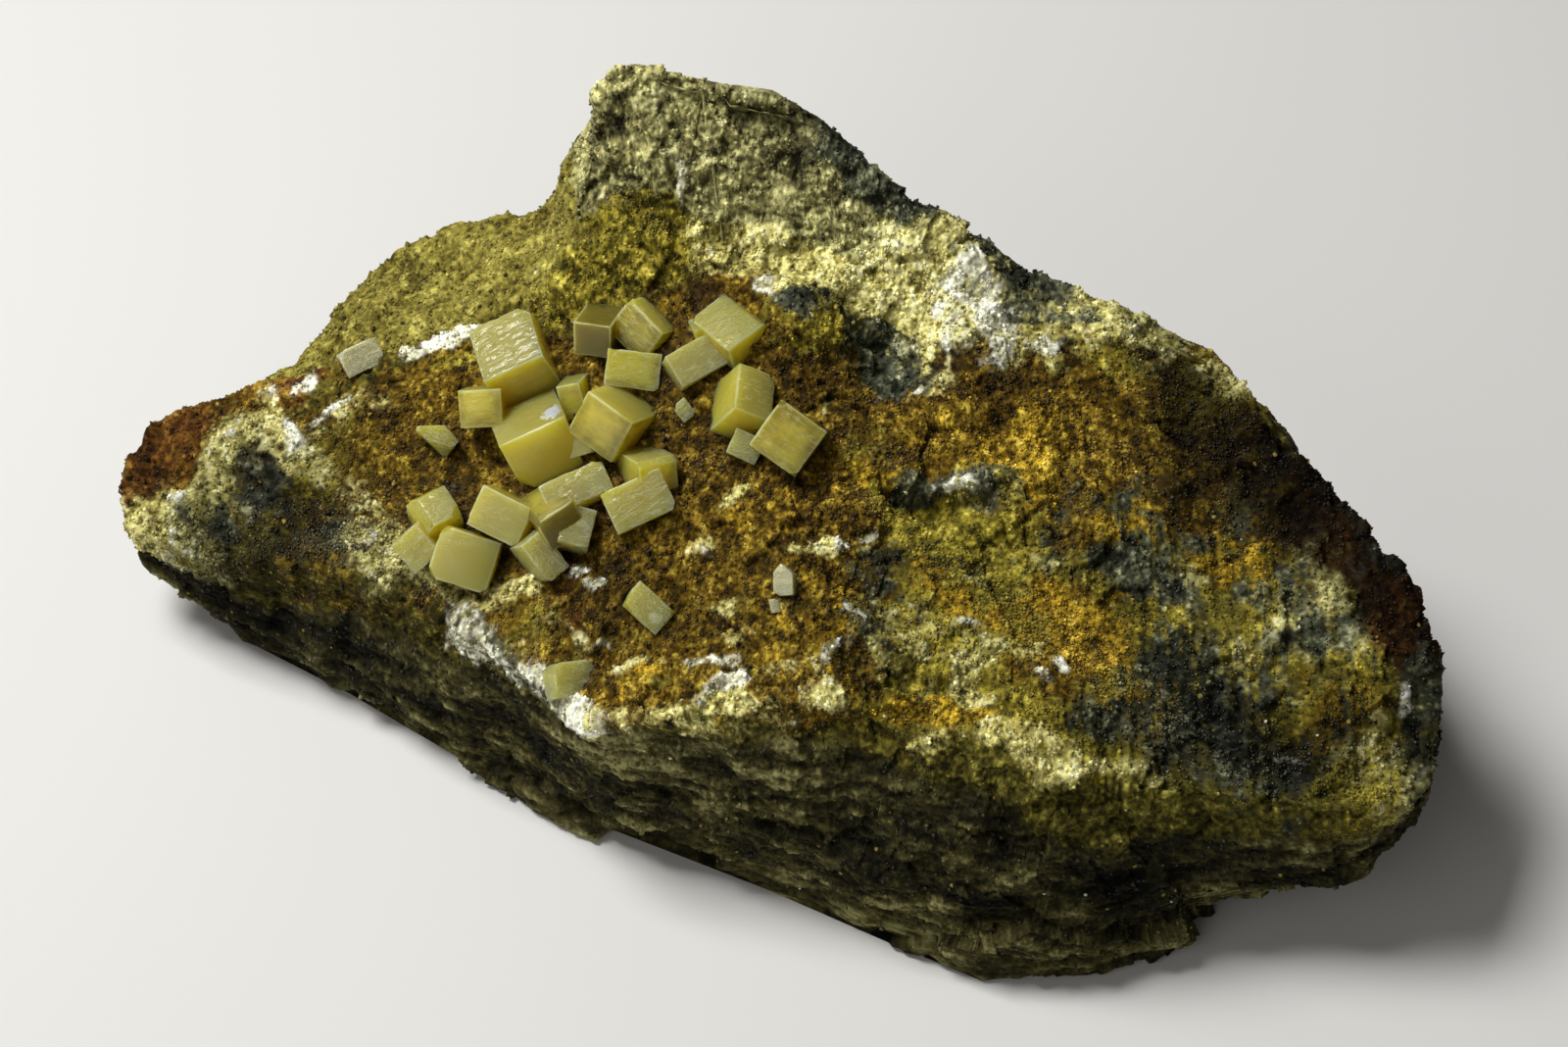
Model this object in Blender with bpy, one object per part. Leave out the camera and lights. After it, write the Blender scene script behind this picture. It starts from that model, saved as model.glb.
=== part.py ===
"""Wulfenite crystals grown on a loose piece of iron-stained matrix rock.

The rock is a square grid wrapped into a closed stone: its middle is the top surface, a height over the plan, and
its outer part is the side wall, which runs from the rim over the waist to the flat foot.  The crystals are blocks
sunk in the top surface.  Lengths are millimetres, turned to metres when a mesh is made.  X runs along the rock,
Y to its back, Z up, and the origin is the middle of the box's underside.
"""

import itertools
import math

import bmesh
import bpy
import numpy as np
from mathutils import Euler, Matrix, Vector

MM = 0.001
GAP = 0.3               # clearance between the rock and a crystal that sits in it

# The grid that becomes the rock
CELLS = (66, 42)        # cells along the rock and across it
TOP_SHARE = 0.68        # part of the grid, from its middle out, that is the top surface
WAIST_SHARE = 0.86      # where the side wall is at its waist
STRETCH = 1.9           # how much longer than wide the rock is
SKEW = 0.29             # how far the rock's long axis leans to the front, per millimetre of X

# Plan of the edge where the top surface turns over into the side wall, anticlockwise from the right-hand end
RIM = [
    (40.5, -17.5), (40.5, -10.0), (39.5, -7.0), (35.5, -2.0), (32.0, 1.0), (29.5, 5.0), (27.5, 7.5), (23.5, 8.5),
    (17.0, 11.0), (14.5, 12.5), (8.0, 14.0), (2.0, 17.5), (-3.5, 18.5), (-10.0, 20.0), (-12.5, 19.5),
    (-14.5, 21.0), (-23.0, 23.0), (-26.5, 23.0), (-30.5, 20.0), (-33.0, 17.0), (-35.0, 16.5), (-39.0, 13.0),
    (-42.0, 11.0), (-43.5, 8.5), (-43.5, 6.0), (-38.0, 2.5), (-30.0, 0.0), (-20.5, -6.0), (-16.0, -10.5),
    (-12.0, -14.0), (-2.5, -16.0), (4.0, -16.0), (12.0, -19.5), (19.0, -20.0), (27.0, -20.0), (34.0, -20.5),
    (38.5, -20.0),
]
# Where the side wall is widest or turns under (x, y, height)
WAIST = [
    (39.5, -18.5, 8.5), (41.0, -11.0, 8.0), (38.5, -1.0, 9.0), (33.0, 7.5, 11.0), (25.0, 14.0, 12.0),
    (12.0, 21.0, 13.0), (0.0, 26.0, 12.0), (-12.0, 29.0, 11.0), (-23.0, 28.0, 9.0), (-32.0, 21.0, 7.0),
    (-39.0, 13.5, 6.5), (-43.0, 8.0, 6.0), (-42.5, 5.5, 5.0), (-36.0, 1.0, 4.0), (-29.0, -2.0, 5.0),
    (-19.5, -8.0, 6.0), (-11.0, -14.5, 6.5), (0.0, -18.5, 7.0), (11.0, -23.5, 6.0), (19.0, -23.5, 6.0),
    (28.0, -22.5, 6.0), (35.0, -22.0, 6.5),
]
# Outline of the flat foot
FOOT = [
    (26.5, -19.5), (32.0, -14.0), (34.0, -6.0), (30.0, 3.0), (23.0, 10.5), (14.0, 16.0), (4.0, 21.5),
    (-8.0, 25.0), (-18.0, 24.5), (-27.0, 19.5), (-33.0, 12.0), (-37.0, 6.0), (-35.5, 2.5), (-29.0, -1.5),
    (-17.0, -10.0), (-9.5, -13.5), (-1.0, -17.5), (6.5, -21.5), (12.5, -24.5), (18.5, -23.5), (23.0, -22.5),
]

# Flat faces of the top surface: height over the origin, rise per millimetre of X and of Y
CRYSTAL_FACE = (23.4, 0.367, 0.377)
RIGHT_SLOPE = (23.9, -0.097, 0.384)
LEFT_END = (26.5, 0.49, 0.465)
TERRACE = (31.0, 0.60, 0.06)
PEAK_FACE = (8.9, 0.24, 1.54)
FACE_BLEND = 1.2        # width over which two faces round into each other

RIDGE = [(-45.0, 11.5), (-3.0, 12.5), (1.6, 11.5), (5.0, 15.0), (12.0, 30.0)]    # far edge of the crystal face
RIDGE_DROP = 1.7        # how steeply the rock falls behind that edge
TERRACE_FRONT = 14.0    # where the terrace behind the edge starts
TERRACE_TOP = 28.5
TERRACE_END = (-7.0, 2.0)     # right of this x the terrace sinks by so much per millimetre
CREST = 37.5            # height of the peak
CREST_FALL = (-1.0, 0.72)     # right of this x the crest falls by so much per millimetre
PEAK_LEFT = (-11.0, 3.5)      # left of this x the peak drops by so much per millimetre

# Lumps (positive) and hollows (negative): x, y, radius, height
LUMPS = [
    (-38.0, 9.5, 5.0, 1.2),
    (-12.0, -11.0, 2.5, -1.2),
    (1.5, 7.5, 2.6, 1.4),
    (6.0, 6.5, 3.2, -2.2),
    (9.0, -2.0, 2.2, -1.0),
    (10.0, -9.0, 6.0, -0.9),
    (15.0, -17.5, 3.5, 1.3),
    (21.0, 5.5, 4.5, 0.9),
    (36.0, -12.0, 4.0, 0.8),
]
# Crystals of each node: x, y, height of the middle over the rock, size along its own axes, turn about X, Y and Z
CRYSTALS = {
    "main_crystal_cluster": [
        (-17.2, 8.8, 1.2, (4.1, 4.5, 3.5), (0, -20, 15)),
        (-19.2, 6.3, 1.1, (2.8, 4.6, 2.4), (-45, -5, 0)),
        (-15.7, 3.5, 0.8, (4.5, 4.7, 3.6), (-25, -15, 20)),
        (-10.5, 3.0, 1.1, (3.6, 4.4, 3.4), (-30, 25, 20)),
        (-13.2, 6.1, 0.2, (1.4, 2.5, 2.2), (-30, -20, -5)),
        (-13.0, 3.0, 0.5, (2.2, 2.8, 1.8), (-45, -25, 0)),
        (-13.0, -0.4, 0.8, (4.2, 2.1, 3.0), (25, -15, 20)),
        (-8.6, 0.1, 0.6, (2.4, 3.4, 2.0), (-30, 10, 25)),
        (-9.1, -1.9, 0.7, (4.0, 2.7, 2.5), (35, -15, 20)),
        (-14.6, -1.7, 1.2, (2.8, 3.9, 2.2), (-25, -15, 30)),
        (-13.1, -2.7, 0.7, (1.9, 2.5, 2.4), (25, 10, -10)),
        (-17.7, -0.9, 0.9, (3.5, 2.6, 3.4), (40, 10, -25)),
        (-15.4, -4.0, 0.9, (3.0, 1.7, 2.2), (10, 40, -40)),
    ],
    "upper_crystal_cluster": [
        (-11.8, 9.3, 1.2, (2.5, 3.0, 2.3), (-20, -5, -15)),
        (-9.0, 9.0, 0.7, (3.2, 1.9, 2.5), (-35, 15, -45)),
        (-9.9, 6.8, 0.3, (3.3, 2.4, 2.4), (40, 5, -5)),
    ],
    "upper_right_crystal_pair": [
        (-3.3, 7.6, 0.5, (3.1, 3.8, 2.0), (-5, -10, 40)),
        (-5.6, 6.1, 0.6, (3.5, 2.2, 2.4), (30, -10, 30)),
    ],
    "right_crystal_cluster": [
        (-2.6, 2.7, 0.7, (2.4, 3.3, 3.2), (10, 30, 0)),
        (0.3, -0.1, 0.7, (3.4, 3.4, 2.7), (35, 20, -30)),
        (-2.4, 0.2, 0.3, (2.0, 1.7, 1.6), (35, 15, -20)),
    ],
    "edge_crystal_cluster": [
        (-22.3, 0.3, 0.8, (2.6, 2.6, 2.4), (5, -5, 30)),
        (-20.2, -2.8, 0.7, (3.8, 3.3, 2.8), (40, 10, -15)),
        (-23.6, -1.9, 0.7, (2.2, 3.6, 2.4), (-50, -35, 25)),
    ],
    "left_single_crystal": [(-22.2, 5.3, 0.5, (2.5, 1.5, 1.5), (40, 10, -10))],
    "lower_single_crystal": [(-8.6, -8.8, 0.6, (2.9, 2.0, 1.7), (30, 25, -35))],
    "bottom_single_crystal": [(-13.4, -11.3, 0.7, (2.8, 2.1, 1.6), (35, 20, 25))],
    "rim_single_crystal": [(-27.6, 12.2, 0.5, (2.6, 1.7, 1.7), (35, -10, 25))],
    "small_single_crystal": [(-6.3, 3.5, 0.2, (0.9, 1.1, 1.0), (35, -25, 30))],
    "pale_crystal_chip": [(0.1, -8.5, 0.3, (1.3, 1.8, 1.1), (35, -20, 30))],
}
# The broken surface: waves of rising fineness, and flat chips of two sizes, each with its height and length
WAVES = [(0.45, 6.0), (0.25, 3.0)]
TOP_CHIPS = (0.35, 7.0)
WALL_CHIPS = (1.0, 10.0)
LOWEST_WALL = 0.4             # the wall stays this far above the foot's plane


def lattice_value(cells, seed):
    """A repeatable value from 0 to 1 for each whole-number cell of space."""
    mixed = cells[..., 0] * 374761393 + cells[..., 1] * 668265263 + cells[..., 2] * 1442695041 + seed * 97531
    mixed = (mixed ^ (mixed >> 13)) * 1274126177
    return ((mixed ^ (mixed >> 16)) & 65535) / 65535.0


def smooth_noise(points, length, seed):
    """Cell values blended between the eight corners around each point, from -1 to 1."""
    scaled = points / length
    base = np.floor(scaled).astype(np.int64)
    part = scaled - base
    part = part * part * (3 - 2 * part)
    total = np.zeros(len(points))
    for corner in itertools.product((0, 1), repeat=3):
        weight = np.prod(np.where(corner, part, 1 - part), axis=-1)
        total += weight * lattice_value(base + corner, seed)
    return 2 * total - 1


def broken_chips(points, length, seed):
    """Flat chips with steps between them: each point lies on the tilted plane of the nearest scattered centre."""
    scaled = points / length
    base = np.floor(scaled).astype(np.int64)
    nearest = np.full(len(points), np.inf)
    height = np.zeros(len(points))
    for step in itertools.product((-1, 0, 1), repeat=3):
        cell = base + step
        centre = cell + np.stack([lattice_value(cell, seed + axis) for axis in (1, 2, 3)], axis=-1)
        tilt = np.stack([lattice_value(cell, seed + axis) for axis in (4, 5, 6)], axis=-1) * 2 - 1
        away = scaled - centre
        distance = np.sum(away ** 2, axis=-1)
        plane = np.sum(away * tilt, axis=-1) + lattice_value(cell, seed + 7) - 0.5
        height = np.where(distance < nearest, plane, height)
        nearest = np.minimum(distance, nearest)
    return height


def outline_radius(corners, angles):
    """Distance of a closed outline from the plan's middle, in the stretched and skewed plan, at each angle."""
    steps = np.arange(len(corners) * 24) / 24.0
    closed = np.array(corners + corners[:1], dtype=float)
    x = np.interp(steps, np.arange(len(closed)), closed[:, 0])
    y = np.interp(steps, np.arange(len(closed)), closed[:, 1])
    flat_x = x / STRETCH
    flat_y = y + SKEW * x
    around = np.arctan2(flat_y, flat_x)
    order = np.argsort(around)
    return np.interp(angles, around[order], np.hypot(flat_x, flat_y)[order], period=2 * math.pi)


def plan_point(radius, angles):
    """Undo the stretch and the skew: x and y of a point at this radius and angle of the round plan."""
    x = STRETCH * radius * np.cos(angles)
    return x, radius * np.sin(angles) - SKEW * x


def soft_min(a, b, width):
    """The lower of two heights, rounded where they cross."""
    mix = np.clip(0.5 + 0.5 * (b - a) / width, 0, 1)
    return b * (1 - mix) + a * mix - width * mix * (1 - mix)


def soft_max(a, b, width):
    return -soft_min(-a, -b, width)


def face_height(face, x, y):
    return face[0] + face[1] * x + face[2] * y


def top_height(x, y):
    """Height of the rock's top surface over a point of the plan."""
    front = soft_min(face_height(CRYSTAL_FACE, x, y), face_height(RIGHT_SLOPE, x, y), FACE_BLEND)
    front = soft_min(front, face_height(LEFT_END, x, y), FACE_BLEND)
    ridge = np.interp(x, *np.transpose(RIDGE))
    front = front - RIDGE_DROP * np.maximum(y - ridge, 0)
    terrace = face_height(TERRACE, x, y) + 2 * np.minimum(y - TERRACE_FRONT, 0)
    terrace = soft_min(terrace, TERRACE_TOP, FACE_BLEND) - TERRACE_END[1] * np.maximum(x - TERRACE_END[0], 0)
    crest = CREST - CREST_FALL[1] * np.maximum(x - CREST_FALL[0], 0) - PEAK_LEFT[1] * np.maximum(PEAK_LEFT[0] - x, 0)
    peak = soft_min(face_height(PEAK_FACE, x, y), crest, FACE_BLEND)
    height = soft_max(soft_max(front, terrace, FACE_BLEND), peak, FACE_BLEND)
    for lump_x, lump_y, radius, rise in LUMPS:
        height = height + rise * np.exp(-((x - lump_x) ** 2 + (y - lump_y) ** 2) / radius ** 2)
    return height


def rock_points(u, v):
    """Carry grid points (-1 to 1 both ways) onto the rock: middle to rim, over the waist and down to the foot."""
    share = np.maximum(np.abs(u), np.abs(v))
    level = np.abs(u) >= np.abs(v)
    safe_u = np.where(u == 0, 1e-9, u)
    safe_v = np.where(v == 0, 1e-9, v)
    turn = np.where(level, math.pi / 4 * v / safe_u, math.pi / 2 - math.pi / 4 * u / safe_v)
    turn = turn + math.pi * np.where(level, u < 0, v < 0)
    rim = outline_radius(RIM, turn)
    waist = outline_radius([corner[:2] for corner in WAIST], turn)
    foot = outline_radius(FOOT, turn)
    rim_x, rim_y = plan_point(rim, turn)
    waist_x, waist_y = plan_point(waist, turn)
    foot_x, foot_y = plan_point(foot, turn)
    corner_turn = [math.atan2(y + SKEW * x, x / STRETCH) for x, y, z in WAIST]
    order = np.argsort(corner_turn)
    waist_height = np.interp(turn, np.array(corner_turn)[order], np.array(WAIST)[order, 2], period=2 * math.pi)
    top_x, top_y = plan_point(rim * np.minimum(share / TOP_SHARE, 1), turn)
    upper = np.clip((share - TOP_SHARE) / (WAIST_SHARE - TOP_SHARE), 0, 1)
    lower = np.clip((share - WAIST_SHARE) / (1 - WAIST_SHARE), 0, 1)
    x = top_x + (waist_x - rim_x) * upper + (foot_x - waist_x) * lower
    y = top_y + (waist_y - rim_y) * upper + (foot_y - waist_y) * lower
    z = top_height(top_x, top_y)
    z = z + (waist_height - z) * upper
    z = z * (1 - lower)
    return x, y, z


def material(name, colour, roughness, transmission=0.0):
    finish = bpy.data.materials.new(name)
    finish.use_nodes = True
    shader = finish.node_tree.nodes["Principled BSDF"]
    shader.inputs["Base Color"].default_value = (*colour, 1)
    shader.inputs["Roughness"].default_value = roughness
    shader.inputs["Transmission Weight"].default_value = transmission
    return finish


def object_from(name, shape, collection, finish=None):
    mesh = bpy.data.meshes.new(name)
    shape.to_mesh(mesh)
    shape.free()
    made = bpy.data.objects.new(name, mesh)
    collection.objects.link(made)
    if finish:
        mesh.materials.append(finish)
    return made


def rock_shape():
    """The stone as one closed mesh in metres, with a single flat face under it."""
    shape = bmesh.new()
    bmesh.ops.create_grid(shape, x_segments=CELLS[0], y_segments=CELLS[1], size=1)
    grid = np.array([corner.co[:] for corner in shape.verts])
    x, y, z = rock_points(grid[:, 0], grid[:, 1])
    for corner, point in zip(shape.verts, np.transpose((x, y, z))):
        corner.co = Vector(point)
    bmesh.ops.triangulate(shape, faces=shape.faces, quad_method="SHORT_EDGE")
    shape.normal_update()
    points = np.transpose((x, y, z))
    share = np.max(np.abs(grid[:, :2]), axis=1)
    wall = np.clip((share - TOP_SHARE) / (WAIST_SHARE - TOP_SHARE), 0, 1)
    relief = sum(rise * smooth_noise(points, length, seed) for seed, (rise, length) in enumerate(WAVES))
    relief += (1 - wall) * TOP_CHIPS[0] * broken_chips(points, TOP_CHIPS[1], 20)
    relief += wall * WALL_CHIPS[0] * broken_chips(points, WALL_CHIPS[1], 40)
    for corner, rise in zip(shape.verts, relief):
        if not corner.is_boundary:
            corner.co += corner.normal * rise
            corner.co.z = max(corner.co.z, LOWEST_WALL)
    foot_edges = [edge for edge in shape.edges if edge.is_boundary]
    bmesh.ops.contextual_create(shape, geom=foot_edges)
    bmesh.ops.recalc_face_normals(shape, faces=shape.faces)
    bmesh.ops.scale(shape, vec=(MM, MM, MM), verts=shape.verts)
    return shape


def crystal_block(name, block, collection, finish=None):
    """One crystal: a cube brought to its size, turned and set in the rock's top surface."""
    x, y, rise, size, turn = block
    middle = Vector((x, y, float(top_height(np.array(x), np.array(y))) + rise)) * MM
    turned = Euler([math.radians(angle) for angle in turn]).to_matrix().to_4x4()
    shape = bmesh.new()
    scaled = Matrix.Diagonal((*(side * MM for side in size), 1))
    bmesh.ops.create_cube(shape, size=1, matrix=Matrix.Translation(middle) @ turned @ scaled)
    return object_from(name, shape, collection, finish)


def boolean(target, other, operation):
    step = target.modifiers.new(operation.lower() + "_" + other.name, "BOOLEAN")
    step.operation = operation
    step.object = other
    step.solver = "EXACT"


def crystal_cluster(name, blocks, rock_cutter, specimen, cutters, finish):
    """Blocks grown into each other, as one solid that stops a gap short of the rock."""
    cluster = crystal_block(name, blocks[0], specimen, finish)
    for number, block in enumerate(blocks[1:], start=2):
        other = crystal_block(f"{name}_block_{number}", block, cutters)
        hide(other)
        boolean(cluster, other, "UNION")
    boolean(cluster, rock_cutter, "DIFFERENCE")


def hide(cutter):
    cutter.hide_render = True
    cutter.display_type = "WIRE"


def build():
    for old in list(bpy.data.objects):
        bpy.data.objects.remove(old, do_unlink=True)
    specimen = bpy.data.collections.new("wulfenite_crystals_on_matrix")
    bpy.context.scene.collection.children.link(specimen)
    stone = material("matrix_stone", (0.27, 0.16, 0.06), 0.85)
    object_from("matrix_rock", rock_shape(), specimen, stone)
    cutters = bpy.data.collections.new("cutters")
    bpy.context.scene.collection.children.link(cutters)
    grown = rock_shape()
    grown.normal_update()
    for corner in grown.verts:
        corner.co += corner.normal * GAP * MM
    rock_cutter = object_from("rock_with_gap", grown, cutters)
    hide(rock_cutter)
    honey = material("honey_crystal", (0.52, 0.45, 0.09), 0.25, 0.25)
    for name, blocks in CRYSTALS.items():
        crystal_cluster(name, blocks, rock_cutter, specimen, cutters, honey)


build()
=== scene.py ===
import itertools
import math

import bpy
import numpy as np
from mathutils import Euler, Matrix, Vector


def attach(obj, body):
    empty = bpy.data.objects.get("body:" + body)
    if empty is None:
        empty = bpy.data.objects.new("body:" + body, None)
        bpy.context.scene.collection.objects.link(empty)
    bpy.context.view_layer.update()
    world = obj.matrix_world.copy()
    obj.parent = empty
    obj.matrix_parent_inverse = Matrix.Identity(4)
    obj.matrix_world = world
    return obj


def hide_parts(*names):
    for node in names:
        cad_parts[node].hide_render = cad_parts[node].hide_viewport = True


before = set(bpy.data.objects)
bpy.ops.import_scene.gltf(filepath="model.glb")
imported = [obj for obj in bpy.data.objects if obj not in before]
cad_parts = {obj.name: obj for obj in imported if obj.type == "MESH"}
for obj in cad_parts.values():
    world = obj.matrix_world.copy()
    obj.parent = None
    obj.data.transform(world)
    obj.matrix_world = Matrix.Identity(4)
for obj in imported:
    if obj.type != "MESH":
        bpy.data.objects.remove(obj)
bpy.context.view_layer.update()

mm = 0.001               # shapes are worked out in millimetres, meshes are in metres

view = {
    "target": (0.0, 1.4, 14.0),      # mm, the middle of what is looked at
    "elevation": 50.0,               # degrees over the floor
    "width": 101.0,                  # mm across the frame at the target
    "lens": 100.0,                   # mm of focal length
    "sensor": 36.0,
}
studio = {
    # places and sizes in mm, powers in watts
    "floorSize": 3000.0,
    "floorColour": (0.72, 0.71, 0.68),
    "floorRoughness": 0.9,
    "keyPlace": (-170.0, 65.0, 335.0),      # above and a little to the left
    "keySize": 150.0,
    "keyPower": 1.52,
    "fillPlace": (-260.0, -330.0, 240.0),
    "fillSize": 400.0,
    "fillPower": 0.48,
    "skyColour": (1.0, 0.97, 0.90),
    "skyStrength": 0.08,
}


def makeCamera():
    rise = math.radians(view["elevation"])
    away = view["width"] / (view["sensor"] / view["lens"])
    camera = bpy.data.cameras.new("camera")
    camera.lens = view["lens"]
    camera.sensor_width = view["sensor"]
    holder = bpy.data.objects.new("camera", camera)
    holder.location = (Vector(view["target"]) + Vector((0, -math.cos(rise), math.sin(rise))) * away) * mm
    holder.rotation_euler = (math.pi / 2 - rise, 0, 0)
    bpy.context.scene.collection.objects.link(holder)
    bpy.context.scene.camera = holder


def makeAreaLight(name, place, size, power):
    lamp = bpy.data.lights.new(name, "AREA")
    lamp.size = size * mm
    lamp.energy = power
    holder = bpy.data.objects.new(name, lamp)
    holder.location = Vector(place) * mm
    toTarget = Vector(view["target"]) - Vector(place)
    holder.rotation_euler = toTarget.to_track_quat("-Z", "Y").to_euler()
    bpy.context.scene.collection.objects.link(holder)


def makeStudio():
    bpy.context.scene.view_settings.view_transform = "Standard"
    makeAreaLight("keyLight", studio["keyPlace"], studio["keySize"], studio["keyPower"])
    makeAreaLight("fillLight", studio["fillPlace"], studio["fillSize"], studio["fillPower"])
    world = bpy.data.worlds.new("studioSky")
    world.use_nodes = True
    sky = world.node_tree.nodes["Background"]
    sky.inputs["Color"].default_value = (*studio["skyColour"], 1)
    sky.inputs["Strength"].default_value = studio["skyStrength"]
    bpy.context.scene.world = world
    half = studio["floorSize"] * mm / 2
    corners = [(-half, -half, 0), (half, -half, 0), (half, half, 0), (-half, half, 0)]
    sheet = bpy.data.meshes.new("studioFloor")
    sheet.from_pydata(corners, [], [(0, 1, 2, 3)])
    finish = bpy.data.materials.new("palePaper")
    finish.use_nodes = True
    paper = finish.node_tree.nodes["Principled BSDF"]
    paper.inputs["Base Color"].default_value = (*studio["floorColour"], 1)
    paper.inputs["Roughness"].default_value = studio["floorRoughness"]
    sheet.materials.append(finish)
    floor = bpy.data.objects.new("studioFloor", sheet)
    bpy.context.scene.collection.objects.link(floor)
    print("camera, lights and floor")


lattice = {
    # noise in space, mixed from whole numbers in the same way as the solids' own
    "steps": (374761393, 668265263, 1442695041),      # a cell's number goes up by these along x, y and z
    "seedStep": 97531,
    "mixer": 1274126177,
    "shifts": (13, 16),
    "lowBits": 65535,
}


def latticeValue(mixed):
    # whole number -> repeatable value 0..1, by mixing its bits
    mixed = (mixed ^ (mixed >> lattice["shifts"][0])) * lattice["mixer"]
    return ((mixed ^ (mixed >> lattice["shifts"][1])) & lattice["lowBits"]) / lattice["lowBits"]


def latticeCells(points, length, seed):
    # the number that x, y and z give to each point's cell, and the point's place inside it, 0..1 each way
    scaled = [np.ascontiguousarray(points[:, axis]) / length for axis in range(3)]
    base = [np.floor(side).astype(np.int64) for side in scaled]
    number = sum(side * step for side, step in zip(base, lattice["steps"])) + seed * lattice["seedStep"]
    return number, [side - low for side, low in zip(scaled, base)]


def smoothNoise(points, length, seed):
    # value = sum over a cell's 8 corners of cornerValue * product of eased distances, stretched to -1..1
    number, part = latticeCells(points, length, seed)
    eased = [side * side * (3 - 2 * side) for side in part]
    share = [(1 - side, side) for side in eased]
    stepX, stepY, stepZ = lattice["steps"]
    total = np.zeros(len(points))
    for i, j, k in itertools.product((0, 1), repeat=3):
        corner = i * stepX + j * stepY + k * stepZ
        total += share[0][i] * share[1][j] * share[2][k] * latticeValue(number + corner)
    return 2 * total - 1


def layeredNoise(points, length, seed, layers=3, keep=0.5):
    # sum of smoothNoise at halved lengths, each layer keep times as high as the last, brought back to -1..1
    total = sum(smoothNoise(points, length / 2 ** n, seed + n) * keep ** n for n in range(layers))
    return total / sum(keep ** n for n in range(layers))


def brokenChips(points, length, seed, lumpy=False):
    # nearest scattered centre c: height = (p - c) . tilt + c's own height; lumpy: 1 - distance to it
    number, part = latticeCells(points, length, 0)
    nearest = np.full(len(points), np.inf)
    chosen = np.zeros(len(points), dtype=np.int64)
    chosenAway = [np.zeros(len(points)) for axis in range(3)]
    for step in itertools.product((-1, 0, 1), repeat=3):
        cell = number + sum(side * stride for side, stride in zip(step, lattice["steps"]))
        places = [latticeValue(cell + (seed + axis + 1) * lattice["seedStep"]) for axis in range(3)]
        away = [part[axis] - step[axis] - places[axis] for axis in range(3)]
        distance = away[0] ** 2 + away[1] ** 2 + away[2] ** 2
        closer = distance < nearest
        nearest = np.where(closer, distance, nearest)
        if not lumpy:
            chosen = np.where(closer, cell, chosen)
            chosenAway = [np.where(closer, new, old) for new, old in zip(away, chosenAway)]
    if lumpy:
        return 1 - np.sqrt(nearest)
    tilt = [latticeValue(chosen + (seed + axis + 4) * lattice["seedStep"]) * 2 - 1 for axis in range(3)]
    height = sum(away * lean for away, lean in zip(chosenAway, tilt))
    return height + latticeValue(chosen + (seed + 7) * lattice["seedStep"]) - 0.5


def smoothStep(low, high, value):
    # 0 at low, 1 at high, eased between them as s * s * (3 - 2 s)
    part = np.clip((value - low) / (high - low), 0, 1)
    return part * part * (3 - 2 * part)


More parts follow.
